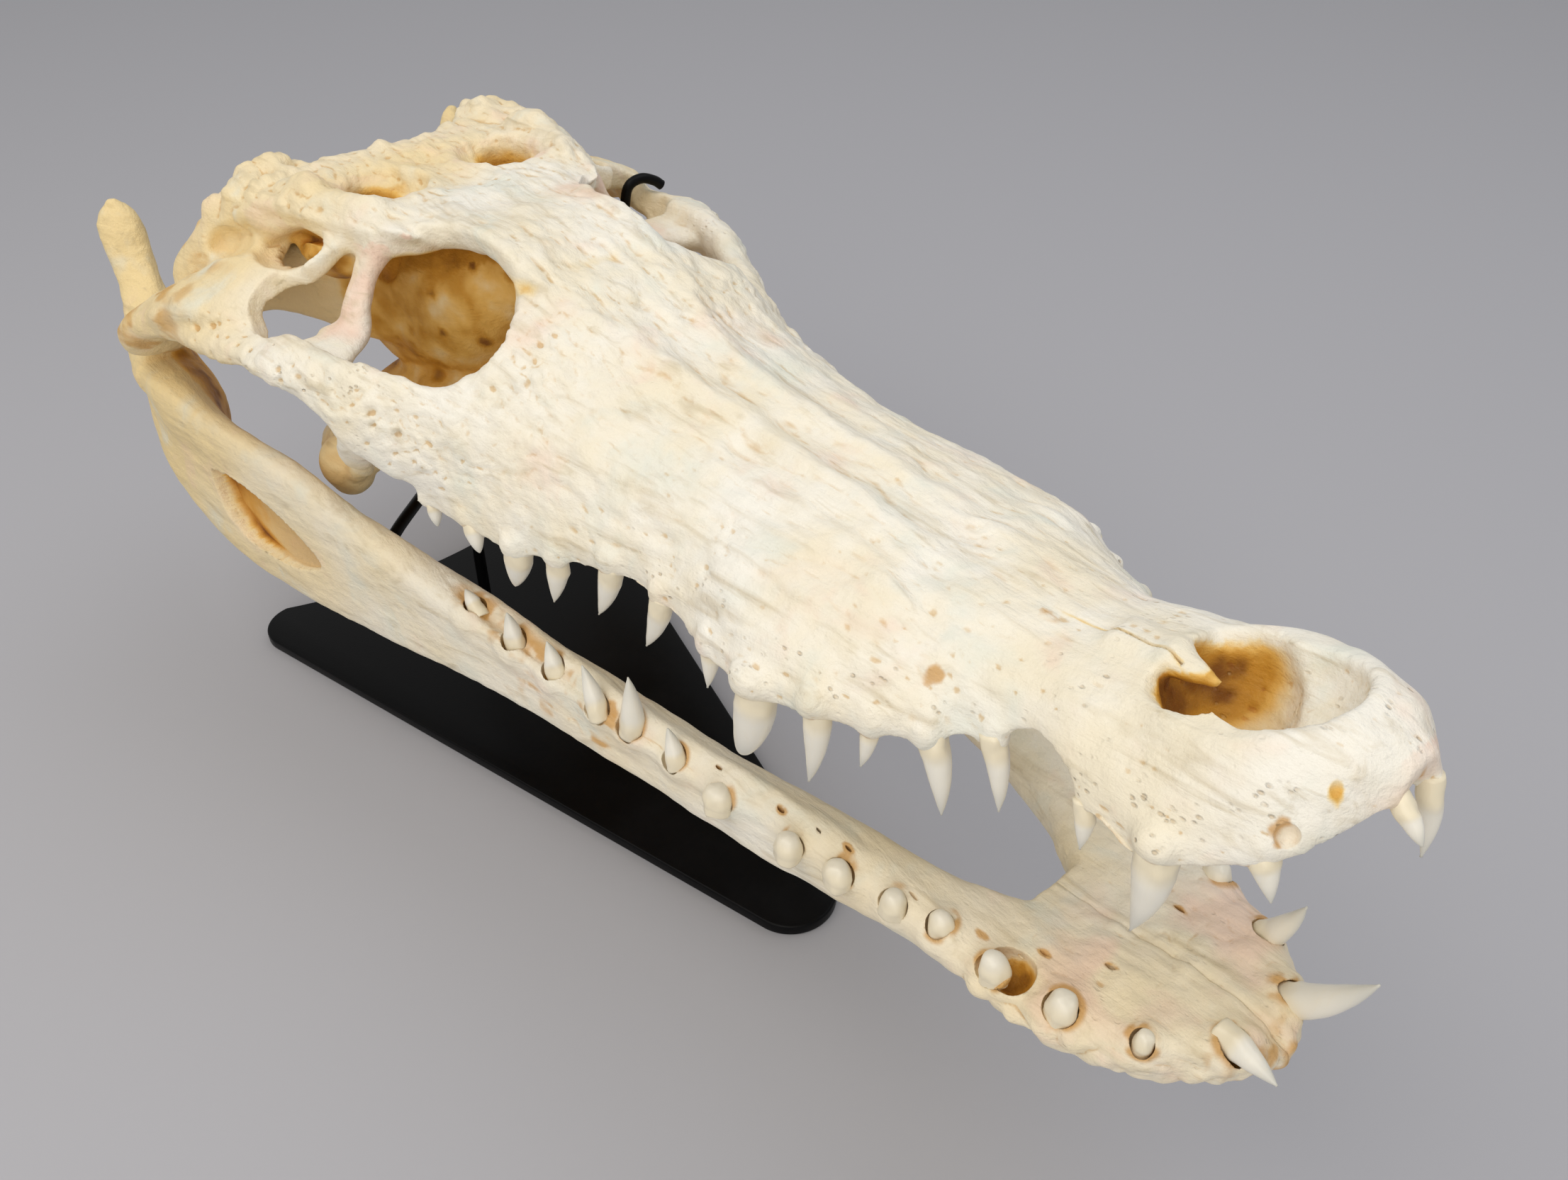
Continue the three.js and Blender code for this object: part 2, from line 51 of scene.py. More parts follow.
# voxel sizes, depths and heights in mm, and the most triangles a piece may have
craniumShape = {
    "voxel": 1.3, "fineVoxel": 1.2, "hollowVoxel": 1.5, "evened": 5, "toothBoss": 0.2, "gumDip": 1.0, "unevenness": 1.5,
    "deepPits": 3.4, "tablePits": 0.8, "gumPores": 1.0, "grain": 0.65, "cutAt": 190, "triangles": 385000,
}
jawShape = {
    "voxel": 1.0, "evened": 4, "socketGap": 1.2, "socketDepth": 7, "windowDepth": 15.5, "windowSlope": 11,
    "toothBoss": 0.4, "grain": 0.28, "chinPores": 0.7, "cutAt": 0.15, "triangles": 190000,
}
# root below the socket's rim in mm, bend as a share of the length, stoutness, and the mesh round and along a tooth
toothShape = {"sunk": 5.5, "bend": 0.055, "stout": 1.08, "sides": 28, "rings": 30, "waves": 0.1}
# plate seen from above as a triangle with rounded corners, and the radii of the rods, in mm
stand = {
    "nose": 342.7, "halfAngle": 14.77, "tip": 260.5, "back": -70, "corner": 18, "hollow": 34, "thickness": 6,
    "bevel": 1.1, "rod": 3.1, "arm": 2.8, "hook": 2.4, "post": 2.0, "armHeight": 124.0,
}
both = (1, -1)

milli = Matrix.Scale(0.001, 4)
standPlace = milli @ Matrix.Translation((pose["shift"], 0, 0))
skullPlace = (
    standPlace
    @ Matrix.Translation((0, 0, pose["craniumHeight"]))
    @ Matrix.Rotation(-math.radians(pose["craniumPitch"]), 4, "Y")
)
jawPlace = skullPlace @ Matrix.Translation(pose["jawJoint"]) @ Matrix.Rotation(math.radians(pose["gape"]), 4, "Y")


def profile(rows):
    # smooth curve through a table of (place, value)
    knots, values = np.array(rows, float).T
    order = np.arange(len(knots))
    before, after = np.maximum(order - 1, 0), np.minimum(order + 1, len(knots) - 1)
    slopes = (values[after] - values[before]) / (knots[after] - knots[before])

    def at(x):
        x = np.clip(x, knots[0], knots[-1])
        k = np.clip(np.searchsorted(knots, x) - 1, 0, len(knots) - 2)
        span = knots[k + 1] - knots[k]
        u = (x - knots[k]) / span
        return (
            values[k] * (1 - u) ** 2 * (1 + 2 * u) + slopes[k] * span * u * (1 - u) ** 2
            + values[k + 1] * u * u * (3 - 2 * u) + slopes[k + 1] * span * u * u * (u - 1)
        )
    return at


def track(points):
    # smooth curve through points, run from 0 to 1
    values = np.array(points, float)
    values = np.concatenate([[2 * values[0] - values[1]], values, [2 * values[-1] - values[-2]]])
    last = len(points) - 1

    def at(t):
        place = np.clip(t, 0, 1) * last
        k = np.minimum(np.floor(place).astype(int), last - 1)
        u = (place - k)[(...,) + (None,) * (values.ndim - 1)]
        a, b, c, d = (values[k + i] for i in range(4))
        return b + 0.5 * u * (c - a + u * (2 * a - 5 * b + 4 * c - d + u * (3 * (b - c) + d - a)))
    return at


def squared(value, power):
    return np.sign(value) * np.abs(value) ** power


def smoothStep(value, low, high):
    u = np.clip((value - low) / (high - low), 0, 1)
    return u * u * (3 - 2 * u)


def blob(points, centre, radii, power=4):
    # 1 inside an egg round the centre and 0 outside; the higher the power, the sharper its edge
    return np.exp(-(np.linalg.norm((points - centre) / radii, axis=1) ** power))


def joinTo(bm, part):
    mesh = bpy.data.meshes.new("part")
    part.to_mesh(mesh)
    part.free()
    bm.from_mesh(mesh)
    bpy.data.meshes.remove(mesh)


def addSkin(bm, sides, rings, place, hands=(1,)):
    # a sphere whose rings are laid along a bone; hands (1, -1) makes the left and right ones
    for hand in hands:
        skin = bmesh.new()
        verts = bmesh.ops.create_uvsphere(skin, u_segments=sides, v_segments=rings + 2, radius=1)["verts"]
        co = np.array([v.co for v in verts])
        ring = np.rint(np.arccos(np.clip(co[:, 2], -1, 1)) / math.pi * (rings + 2))
        reach = (np.hypot(co[:, 0], co[:, 1]) > 1e-4).astype(float)
        along = np.clip((ring - 1) / rings, 0, 1)
        for v, spot in zip(verts, place(along, np.arctan2(co[:, 1], co[:, 0]), reach)):
            v.co = (spot[0], spot[1] * hand, spot[2])
        bmesh.ops.recalc_face_normals(skin, faces=skin.faces[:])
        joinTo(bm, skin)


def addRibbon(bm, edgeA, edgeB, thickness, hands=(1,), power=0.8, rings=40, sides=28):
    # flat bone between two edges, with a rounded section
    a, b, depth = track(edgeA), track(edgeB), track(thickness)

    def place(t, angle, reach):
        middle = (a(t) + b(t)) / 2
        ahead, behind = np.minimum(t + 0.02, 1), np.maximum(t - 0.02, 0)
        along = (a(ahead) + b(ahead) - a(behind) - b(behind)) / 2
        half = b(t) - middle
        across = np.cross(along, half)
        across /= np.linalg.norm(across, axis=1)[:, None]
        wide = (squared(np.cos(angle), power) * reach)[:, None]
        thick = (squared(np.sin(angle), power) * reach * depth(t) / 2)[:, None]
        return middle + half * wide + across * thick
    addSkin(bm, sides, rings, place, hands)


def addEgg(bm, centre, radii, hands=(1,), tilt=0, sides=40):
    for hand in hands:
        matrix = Matrix.Translation((centre[0], centre[1] * hand, centre[2]))
        matrix = matrix @ Matrix.Rotation(math.radians(tilt), 4, "Y") @ Matrix.Diagonal((*radii, 1))
        egg = bmesh.new()
        bmesh.ops.create_uvsphere(egg, u_segments=sides, v_segments=sides * 2 // 3, radius=1, matrix=matrix)
        joinTo(bm, egg)


def addRod(bm, points, radius, sides=28, rings=90):
    # round bar bent through a list of points
    path = track(points)

    def place(t, angle, reach):
        along = path(np.minimum(t + 0.004, 1)) - path(np.maximum(t - 0.004, 0))
        along /= np.linalg.norm(along, axis=1)[:, None]
        side = np.cross(along, (0.31, 0.17, 0.93) if abs(along[:, 2]).mean() < 0.7 else (0.93, 0.31, 0.17))
        side /= np.linalg.norm(side, axis=1)[:, None]
        up = np.cross(side, along)
        return path(t) + (side * np.cos(angle)[:, None] + up * np.sin(angle)[:, None]) * (reach * radius)[:, None]
    addSkin(bm, sides, rings, place)


def newPiece(name, bm):
    mesh = bpy.data.meshes.new(name)
    bm.to_mesh(mesh)
    bm.free()
    piece = bpy.data.objects.new(name, mesh)
    bpy.context.scene.collection.objects.link(piece)
    return piece


def modified(piece, kind, **settings):
    # bakes a modifier into the piece's mesh
    modifier = piece.modifiers.new(kind, kind)
    for name, value in settings.items():
        setattr(modifier, name, value)
    graph = bpy.context.evaluated_depsgraph_get()
    mesh = bpy.data.meshes.new_from_object(piece.evaluated_get(graph))
    piece.modifiers.clear()
    piece.data = mesh
    return piece


coarser = 1


def remeshed(piece, voxel):
    return modified(piece, "REMESH", mode="VOXEL", voxel_size=voxel * coarser)


def carved(piece, cutter):
    modified(piece, "BOOLEAN", operation="DIFFERENCE", solver="MANIFOLD", object=cutter)
    bpy.data.objects.remove(cutter)
    return piece


def thinned(piece, most):
    count = sum(len(p.vertices) - 2 for p in piece.data.polygons)
    return modified(piece, "DECIMATE", ratio=most / count) if count > most else piece


def readMesh(items, name, width, kind=np.float32):
    values = np.empty(len(items) * width, kind)
    items.foreach_get(name, values)
    return values.reshape(-1, width)


def pointsOf(mesh):
    return readMesh(mesh.vertices, "co", 3).astype(float)


def normalsOf(mesh):
    return readMesh(mesh.vertex_normals, "vector", 3).astype(float)


def setPoints(mesh, points):
    mesh.vertices.foreach_set("co", points.astype(np.float32).ravel())
    mesh.update()


def linksOf(mesh):
    ends = readMesh(mesh.edges, "vertices", 2, np.int32)
    return np.r_[ends[:, 0], ends[:, 1]], np.r_[ends[:, 1], ends[:, 0]]


def spread(values, links, rounds):
    # evens out values, one per vertex, over the mesh
    here, there = links
    count = np.maximum(np.bincount(here, minlength=len(values)), 1)
    for _ in range(rounds):
        values = (values + np.bincount(here, values[there], minlength=len(values)) / count) / 2
    return values


def evened(mesh, rounds):
    links = linksOf(mesh)
    return np.stack([spread(values, links, rounds) for values in pointsOf(mesh).T], axis=1)


def relax(mesh, rounds, strength=1):
    points = pointsOf(mesh)
    setPoints(mesh, points + (evened(mesh, rounds) - points) * strength)


def cloud(points, size, octaves=3, seed=1):
    # soft noise from -1 to 1, in mm
    lattice = np.random.default_rng(seed).random((32, 32, 32))
    total, weight, whole = np.zeros(len(points)), 1.0, 0.0
    spot = points / np.array(size, float)
    for _ in range(octaves):
        cell = np.floor(spot).astype(int)
        u = spot - cell
        u = u * u * (3 - 2 * u)
        value = np.zeros(len(points))
        for corner in product((0, 1), repeat=3):
            share = np.prod(np.where(corner, u, 1 - u), axis=1)
            value += share * lattice[tuple(((cell + corner) % 32).T)]
        total += weight * (value * 2 - 1)
        whole += weight
        weight *= 0.5
        spot = spot * 2.03 + 7.1
    return total / whole * 1.6


def pitField(points, size, share, seed):
    # round dents from 0 to 1 deep, at most one in each cell of the given size in mm
    table = np.random.default_rng(seed).random((32, 32, 32, 5))
    spot = points / np.array(size, float)
    cell = np.floor(spot).astype(int)
    depth = np.zeros(len(points))
    for step in product((-1, 0, 1), repeat=3):
        near = cell + step
        dice = table[tuple((near % 32).T)]
        away = np.linalg.norm(spot - near - 0.2 - 0.6 * dice[:, :3], axis=1) / (0.16 + 0.26 * dice[:, 3])
        depth = np.maximum(depth, np.clip(1 - away ** 2, 0, 1) * (dice[:, 4] < share))
    return depth


def nearPath(points, path):
    # distance from each point to a line through the path, and how far along it that is, from 0 to 1
    path = np.array(path, float)
    best, place = np.full(len(points), 1e9), np.zeros(len(points))
    for k in range(len(path) - 1):
        step = path[k + 1] - path[k]
        u = np.clip((points - path[k]) @ step / (step @ step), 0, 1)
        away = np.linalg.norm(points - path[k] - u[:, None] * step, axis=1)
        closer = away < best
        best[closer], place[closer] = away[closer], (k + u[closer]) / (len(path) - 1)
    return best, place


def mirrorY(points):
    # both sides folded onto the right one
    folded = points.copy()
    folded[:, 1] = -np.abs(folded[:, 1])
    return folded


def treeOf(spots):
    tree = KDTree(len(spots))
    for k, spot in enumerate(spots):
        tree.insert(spot, k)
    tree.balance()
    return tree


def cutAway(piece, place, normal):
    # drops what lies past a plane and closes the cut
    bm = bmesh.new()
    bm.from_mesh(piece.data)
    everything = bm.verts[:] + bm.edges[:] + bm.faces[:]
    bmesh.ops.bisect_plane(bm, geom=everything, plane_co=place, plane_no=normal, clear_outer=True)
    bmesh.ops.holes_fill(bm, edges=[e for e in bm.edges if e.is_boundary])
    bm.to_mesh(piece.data)
    bm.free()


# cranium: x from the back of the skull table, y to the left, z from the tooth line, in mm
snoutHalf = profile([
    (120, 95), (150, 88.5), (180, 81), (210, 73), (235, 66.5), (255, 63.5), (275, 64), (300, 67.5), (322, 69),
    (345, 65), (368, 55), (388, 43.5), (405, 37), (420, 40.5), (436, 45.5), (455, 45), (472, 38.5), (486, 28), (499, 9),
])
snoutTop = profile([
    (120, 80), (150, 76.5), (170, 72), (190, 64), (215, 55), (245, 48), (280, 43), (320, 37.5), (360, 32.5),
    (395, 30.5), (425, 33.5), (450, 40), (470, 44), (486, 44), (499, 38),
])
toothLine = profile([
    (120, 10), (150, 2), (172, -1), (193, -4), (213, -2), (239, 2), (265, 1), (296, -1), (322, -3), (345, 0),
    (361, 0), (379, 1), (395, 5), (408, 13), (418, 12), (430, 5), (448, 1.5), (455, 3), (470, 8.5), (486, 16),
    (499, 27),
])

# base, tip, radius and bluntness of the upper teeth of the right side
upperTeeth = [
    ((150, -84, 1), (152, -85, -6), 3.4, 0.6), ((172, -80, -1.2), (175.9, -81, -9.5), 4.0, 0.6),
    ((193.5, -74.4, -5.4), (188, -75.4, -21.6), 5.8, 0.7), ((212.7, -69.3, -3.2), (207, -70.3, -22.1), 4.7, 0.8),
    ((238.7, -63, 2), (227.4, -64, -21.1), 4.5, 0.8), ((264.6, -60.7, -0.1), (253.5, -61.7, -22.8), 4.4, 0.8),
    ((295.9, -63.9, -1.3), (293.7, -64.9, -17.3), 3.6, 0.8), ((321.9, -66, -1.7), (312.3, -67, -32.5), 7.2, 0.45),
    ((345.5, -61.8, 1), (340.8, -62.8, -29.6), 4.8, 0.8), ((361.3, -54.9, -1.4), (358, -55.9, -16.9), 3.1, 0.8),
    ((378.6, -45.9, -1.1), (382.9, -46.9, -26.2), 4.8, 0.8), ((395.1, -37.8, 1.9), (398.2, -38.8, -19.9), 4.0, 0.8),
    ((429.8, -40.6, 1.2), (430.1, -41.6, -10.5), 3.2, 0.8), ((453.7, -42, 5.1), (449.3, -43, -26), 6.3, 0.85),
    ((477.2, -31.6, 11.6), (481.8, -32.6, 1.6), 4.0, 0.8), ((498.2, -7.2, 25), (504, -8.2, 19.3), 2.9, 0.6),
]
upperTeethLeft = upperTeeth[:-1] + [((496.5, -6, 23), (498.7, -6, 2.4), 3.4, 0.8)]


def snoutSkin(bm):
    back, front = 146, 499

    def place(t, angle, reach):
        x = back + (front - back) * (1 - (1 - t) ** 1.25)
        half, top, low = snoutHalf(x), snoutTop(x), toothLine(x)
        side, rise = np.cos(angle), np.sin(angle)
        edge = squared(side, 0.62)
        crown = np.clip(1 - np.abs(edge) ** 2.4, 0, 1)
        z = np.where(rise >= 0, low + (top - low) * crown ** 0.62, low + 4 * (1 - np.abs(side) ** 3))
        z = low + (z - low) * reach + (1 - reach) * (top - low) * 0.4
        return np.stack([x, half * edge * reach, z], axis=1)
    addSkin(bm, 180, 220, place)


roofHalf = profile([
    (-36, 44), (-20, 57), (-6, 66), (8, 68), (33, 65), (50, 61), (66, 57), (80, 52), (92, 40), (108, 30), (130, 29),
    (150, 30), (168, 26), (186, 10),
])
roofTop = profile([(-36, 86), (0, 90), (60, 89), (100, 88), (130, 86), (150, 80), (168, 71), (186, 58)])
roofDepth = profile([(-36, 12), (0, 18), (60, 18), (90, 14), (130, 13), (186, 24)])


def roofSkin(bm):
    def place(t, angle, reach):
        x = -34 + 220 * t
        side = squared(np.cos(angle), 0.6)
        corner = 5 * np.exp(-(((x + 14) / 18) ** 2)) * side ** 4
        rim = np.where(x < 92, -2.5 * side ** 2, 3 * side ** 4 - 1.5)
        depth = roofDepth(x)
        z = roofTop(x) + rim + corner - depth / 2 + squared(np.sin(angle), 0.3) * reach * depth / 2
        return np.stack([x, roofHalf(x) * side * reach, z], axis=1)
    addSkin(bm, 120, 110, place)


# flat bones: their two edges, thickness along them, sides they are on, squareness of the section, and rings
craniumRibbons = [
    (  # wall between the orbits and round the brain
        [(150, 0, 72), (110, 0, 66), (70, 0, 72), (20, 0, 80), (-8, 0, 80)],
        [(150, 0, 66), (110, 0, 46), (70, 0, 4), (20, 0, -10), (-8, 0, 2)], [10, 14, 56, 76, 74],
    ), (  # back plate under the rear edge of the table
        [(-12, 0, 82), (-18, 40, 82), (-34, 64, 72), (-52, 82, 58)],
        [(-14, 0, 34), (-18, 34, 44), (-32, 60, 42), (-50, 82, 47)], [16, 15, 13, 9], both,
    ), (  # quadrate and quadratojugal
        [(64, 54, 78), (34, 56, 74), (0, 62, 66), (-34, 74, 46), (-58, 82, 24), (-66, 86, 14)],
        [(44, 100, 51), (28, 109, 50), (4, 117, 47), (-24, 122, 38), (-56, 126, 24), (-68, 124, 14)],
        [9, 11, 13, 17, 22, 15], both,
    ), (
        [(60, 14, 60), (20, 30, 66), (-20, 58, 56), (-52, 84, 28)],
        [(50, 18, 10), (14, 36, 14), (-24, 64, 26), (-58, 96, 14)], [26, 24, 18, 18], both,
    ), (  # wing of the squamosal, from the rear corner of the table down behind the ear
        [(-12, 58, 87), (-25, 64, 84), (-34, 74, 75), (-48, 82, 61), (-58, 85, 48)],
        [(26, 64, 80), (6, 71, 71), (-14, 80, 60), (-34, 88, 48), (-52, 94, 38)], [12, 12, 12, 13, 15], both,
    ), (  # jugal
        [(-30, 116, 43), (8, 104, 48), (38, 92, 50), (60, 92, 50), (81, 91, 52), (98, 90, 53), (116, 87, 51),
         (140, 76, 48), (180, 58, 44)],
        [(-34, 119, 28), (8, 117, 37), (38, 114, 40), (58, 112, 42), (76, 111, 42), (98, 104, 35), (120, 98, 22),
         (145, 87, 9), (180, 76, 4)],
        [10, 10, 10, 10, 11, 12, 13, 14, 10], both, 0.8, 60,
    ), (
        [(20, 100, 46), (44, 94, 48), (80, 93, 49), (104, 91, 48), (124, 85, 44), (150, 74, 36)],
        [(20, 109, 40), (44, 107, 38), (80, 104, 36), (104, 98, 26), (124, 92, 16), (150, 84, 8)],
        [7, 8, 9, 10, 11, 11], both,
    ), (  # postorbital bar, which runs down inside the cheek's upper edge
        [(56, 46, 82), (63, 50, 76), (63, 57, 65), (64, 64, 55), (62, 71, 45), (48, 97, 41)],
        [(98, 42, 83), (84, 48, 78), (79, 56, 66), (81, 63, 55), (88, 71, 45), (110, 97, 42)],
        [14, 11, 9, 9, 10, 14], both, 0.9,
    ), (  # palate: midline bar, wings and the struts out to the cheeks
        [(175, 26, 4), (130, 15, 2), (90, 17, 0), (50, 34, -4), (8, 26, -2)],
        [(175, -26, 4), (130, -15, 2), (90, -17, 0), (50, -34, -4), (8, -26, -2)], [16, 14, 16, 16, 14],
    ), (
        [(84, 8, 0), (78, 34, -8), (58, 58, -16), (40, 74, -18)],
        [(4, 6, -2), (-4, 34, -12), (-4, 58, -28), (10, 72, -38)], [14, 11, 14, 17], both,
    ), (
        [(80, 30, -6), (66, 54, -14), (55, 74, -20)], [(40, 34, -12), (34, 56, -22), (33, 77, -30)], [11, 13, 17], both,
    ), (
        [(44, 70, -28), (82, 76, -8), (114, 86, 16), (136, 86, 30)],
        [(18, 76, -38), (64, 82, -14), (100, 95, 17), (118, 94, 40)], [15, 11, 11, 12], both,
    ),
]


def craniumBones():
    bm = bmesh.new()
    snoutSkin(bm)
    roofSkin(bm)
    for row in craniumRibbons:
        addRibbon(bm, *row)
    addEgg(bm, (-26, 0, 38), (11, 12, 10))
    for centre, radii, tilt in (
        ((30, 48, 66), (30, 14, 12), 0), ((42, 74.5, -25), (14, 11.5, 14.5), 20),
        ((20, 53, 84), (17, 12, 7), 0), ((-20, 52, 84), (12, 14, 9), 0),  # bosses along the edge of the table
    ):
        addEgg(bm, centre, radii, both, tilt)
    # swollen collars round the roots of the teeth
    for hand, row in ((1, upperTeeth), (-1, upperTeethLeft)):
        for base, tip, radius, blunt in row:
            lean = (base[0] - tip[0]) / (base[2] - tip[2])
            centre = (base[0] + 4.5 * lean, (base[1] + 0.3) * hand, base[2] + 4.5)
            addEgg(bm, centre, (radius + 1.5, radius + 1.0, 6.4), sides=24)
    return newPiece("cranium", bm)


# egg-shaped hollows, centre and radii: on the midline, and in pairs with their tilt
craniumMiddleHollows = [
    ((456, 0, 46), (24, 24, 13)), ((459, 0, 42), (20, 20, 17)), ((444, 0, 28), (17, 20, 22)),  # nostril
    ((-50, 0, 90), (50, 50, 60)), ((-26, 0, 58), (16, 10, 9)),  # rear edge of the table
]
craniumSideHollows = [
    ((438, 13, 38), (12, 10, 14), 0),  # back of the nostril
    ((42, 28, 98), (25, 21, 21), 0), ((37, 33, 76), (14, 10, 30), 0),  # dished rims and shafts of the upper openings
    ((31, 69, 70), (26, 14, 8), -12), ((-2, 82, 71), (27, 12, 9), -20),  # ear, and the shallow dish behind it
    ((56, 88, 60), (17, 14, 22), 0), ((132, 59, 74), (38, 30, 34), 0),  # temple and orbit
]


def craniumHollows():
    bm = bmesh.new()
    for centre, radii in craniumMiddleHollows:
        addEgg(bm, centre, radii)
    for centre, radii, tilt in craniumSideHollows:
        addEgg(bm, centre, radii, both, tilt)
    return remeshed(newPiece("hollows", bm), craniumShape["hollowVoxel"])


def addSockets(bm, teeth, hand, gap, depth):
    # round pockets that the lower teeth stand in
    for base, tip, radius, blunt in teeth:
        spare, deep = (gap * 0.6, depth * 0.8) if blunt < 0.4 else (gap, depth)
        centre = (base[0], base[1] * hand, base[2] - deep * 0.25)
        addEgg(bm, centre, (radius * 1.05 + spare, radius * 0.95 + spare, deep), sides=27)


def ridge(points, path, height, width, start=0.1, end=0.1):
    # swelling along a path, faded at its ends
    away, place = nearPath(points, path)
    fade = smoothStep(place, 0, max(start, 1e-3)) * smoothStep(1 - place, 0, max(end, 1e-3))
    return height * np.exp(-((away / width) ** 2)) * fade


# ridges and furrows of the right side from above: path, height, width, and the share of each end that fades
snoutRidges = [
    ([(172, -26), (190, -18), (215, -13), (255, -11), (320, -10), (385, -6)], 2.8, 4.2, 0.15, 0.3),
    ([(186, -30), (225, -24), (280, -21), (340, -19)], -1.5, 7, 0.2, 0.4),
    ([(165, 0), (230, 0), (300, 0), (360, 0)], -1.3, 7, 0.2, 0.4),
    ([(160, -62), (176, -52), (196, -44), (230, -38)], 2.4, 7, 0.2, 0.5),
    ([(176, -66), (205, -58), (240, -48), (290, -42)], 1.3, 5, 0.2, 0.4),
]
tableRidges = [
    ([(-28, -58), (-10, -68), (30, -67), (62, -61)], 2.0, 6, 0.1, 0.3),
    ([(24, -14), (45, -9), (62, -14)], 1.6, 4, 0.2, 0.2),
    ([(4, -52), (36, -54), (62, -48), (80, -38)], 7.0, 6.5, 0.25, 0.25),
    ([(14, 0), (45, 0), (80, 0)], -3.0, 10, 0.2, 0.2),
]
orbitRim = [
    (100, -34, 85), (112, -31, 87), (132, -30, 88), (152, -33, 83), (164, -42, 73), (169, -56, 60), (163, -70, 51),
    (148, -76, 49),
]
cheekLine = [(10, -117, 42), (60, -113, 48), (98, -104, 45), (130, -92, 34), (160, -84, 26), (185, -76, 32)]


def sculptCranium(mesh):
    points, normals = pointsOf(mesh), normalsOf(mesh)
    near = mirrorY(points)
    up = smoothStep(normals[:, 2], 0.1, 0.6)
    x, y, z = near.T
    # a boss over each tooth socket, with dips between them
    swell = -craniumShape["gumDip"] * np.exp(-((z - toothLine(x)) / 9) ** 2) * (x > 140)
    for base, tip, radius, blunt in upperTeeth:
        away = np.linalg.norm((near - (base[0], base[1] * 1.04, base[2] + 3)) * (1, 0.8, 0.7), axis=1)
        swell += craniumShape["toothBoss"] * radius * np.exp(-((away / (radius * 1.7)) ** 2))
    # ridges from the orbits down the snout and along the table, and the raised rims round the orbits
    flat = near[:, :2]
    bent = flat + 2.4 * np.stack([cloud(points, 28, 2, seed) for seed in (61, 62)], axis=1)
    for row in snoutRidges:
        swell += up * ridge(bent, *row)
    for row in tableRidges:
        swell += up * ridge(flat, *row)
    swell += ridge(near, orbitRim, 2.2, 4.5, 0.1, 0.2)
    lumps = np.abs(cloud(points, (15, 13, 13), 2, 63))
    swell += smoothStep(-x, -18, 4) * smoothStep(z, 66, 78) * 3.4 * lumps
    # raised lip of the nostril
    lip = np.abs(np.hypot((x - 453) / 24, y / 25) - 1.08)
    swell += up * 1.8 * np.exp(-((lip / 0.16) ** 2)) * (x > 405)
    # uneven growth of the bone
    swell += craniumShape["unevenness"] * cloud(points, 34, 2, 3) + 0.7 * cloud(points, 11, 2, 4)
    setPoints(mesh, points + normals * swell[:, None])
    relax(mesh, 1)
    # sculptured surface: pits along the cheek and brow, small pores nearer the teeth, fine grain along the snout
    points, normals = pointsOf(mesh), normalsOf(mesh)
    near = mirrorY(points)
    x, y, z = near.T
    up = smoothStep(normals[:, 2], 0.0, 0.5)
    outer = smoothStep(normals[:, 1] * np.sign(points[:, 1]), -0.1, 0.4)
    cheek = ridge(near, cheekLine, 1, 11, 0.05, 0.2)
    brow = ridge(near, [(165, -60, 55), (185, -50, 58), (175, -34, 66)], 1, 10, 0.1, 0.1)
    boss = ridge(near, [(6, -55, 88), (30, -55, 88)], 1, 12, 0.01, 0.01)
    table = up * smoothStep(-x, -95, -75) * smoothStep(z, 70, 84)
    side = smoothStep(x, 160, 230) * smoothStep(z - toothLine(x), 60, 0) * smoothStep(z - toothLine(x), -6, 4)
    rough = np.clip(cheek * outer + 0.6 * brow + 0.5 * boss, 0, 1) * np.where(points[:, 1] > 0, 0.5, 1)
    front = up * smoothStep(x, 60, 110) * smoothStep(260 - x, 0, 90)
    wavy = points + 5 * np.stack([cloud(points, 30, 2, seed) for seed in (64, 65, 66)], axis=1)
    along = up * smoothStep(x, 60, 150) * smoothStep(430 - x, 0, 60)
    relief = cloud(wavy, (22, 3.6, 5), 3, 14) * (craniumShape["grain"] * along + 0.14)
    relief += np.abs(cloud(wavy, (11, 5, 6), 3, 15)) * (rough * 1.4 + table * 1.4 + front * 0.9)
    relief -= craniumShape["deepPits"] * pitField(wavy, (8, 5.0, 5.0), 0.85, 11) * rough
    relief -= craniumShape["tablePits"] * pitField(wavy, (6.5, 5, 5), 0.4, 12) * np.clip(table * 0.9 + 0.1 * up, 0, 1)
    relief -= craniumShape["gumPores"] * pitField(wavy, (6, 3.8, 3.8), 0.45, 13) * side
    setPoints(mesh, points + normals * relief[:, None])


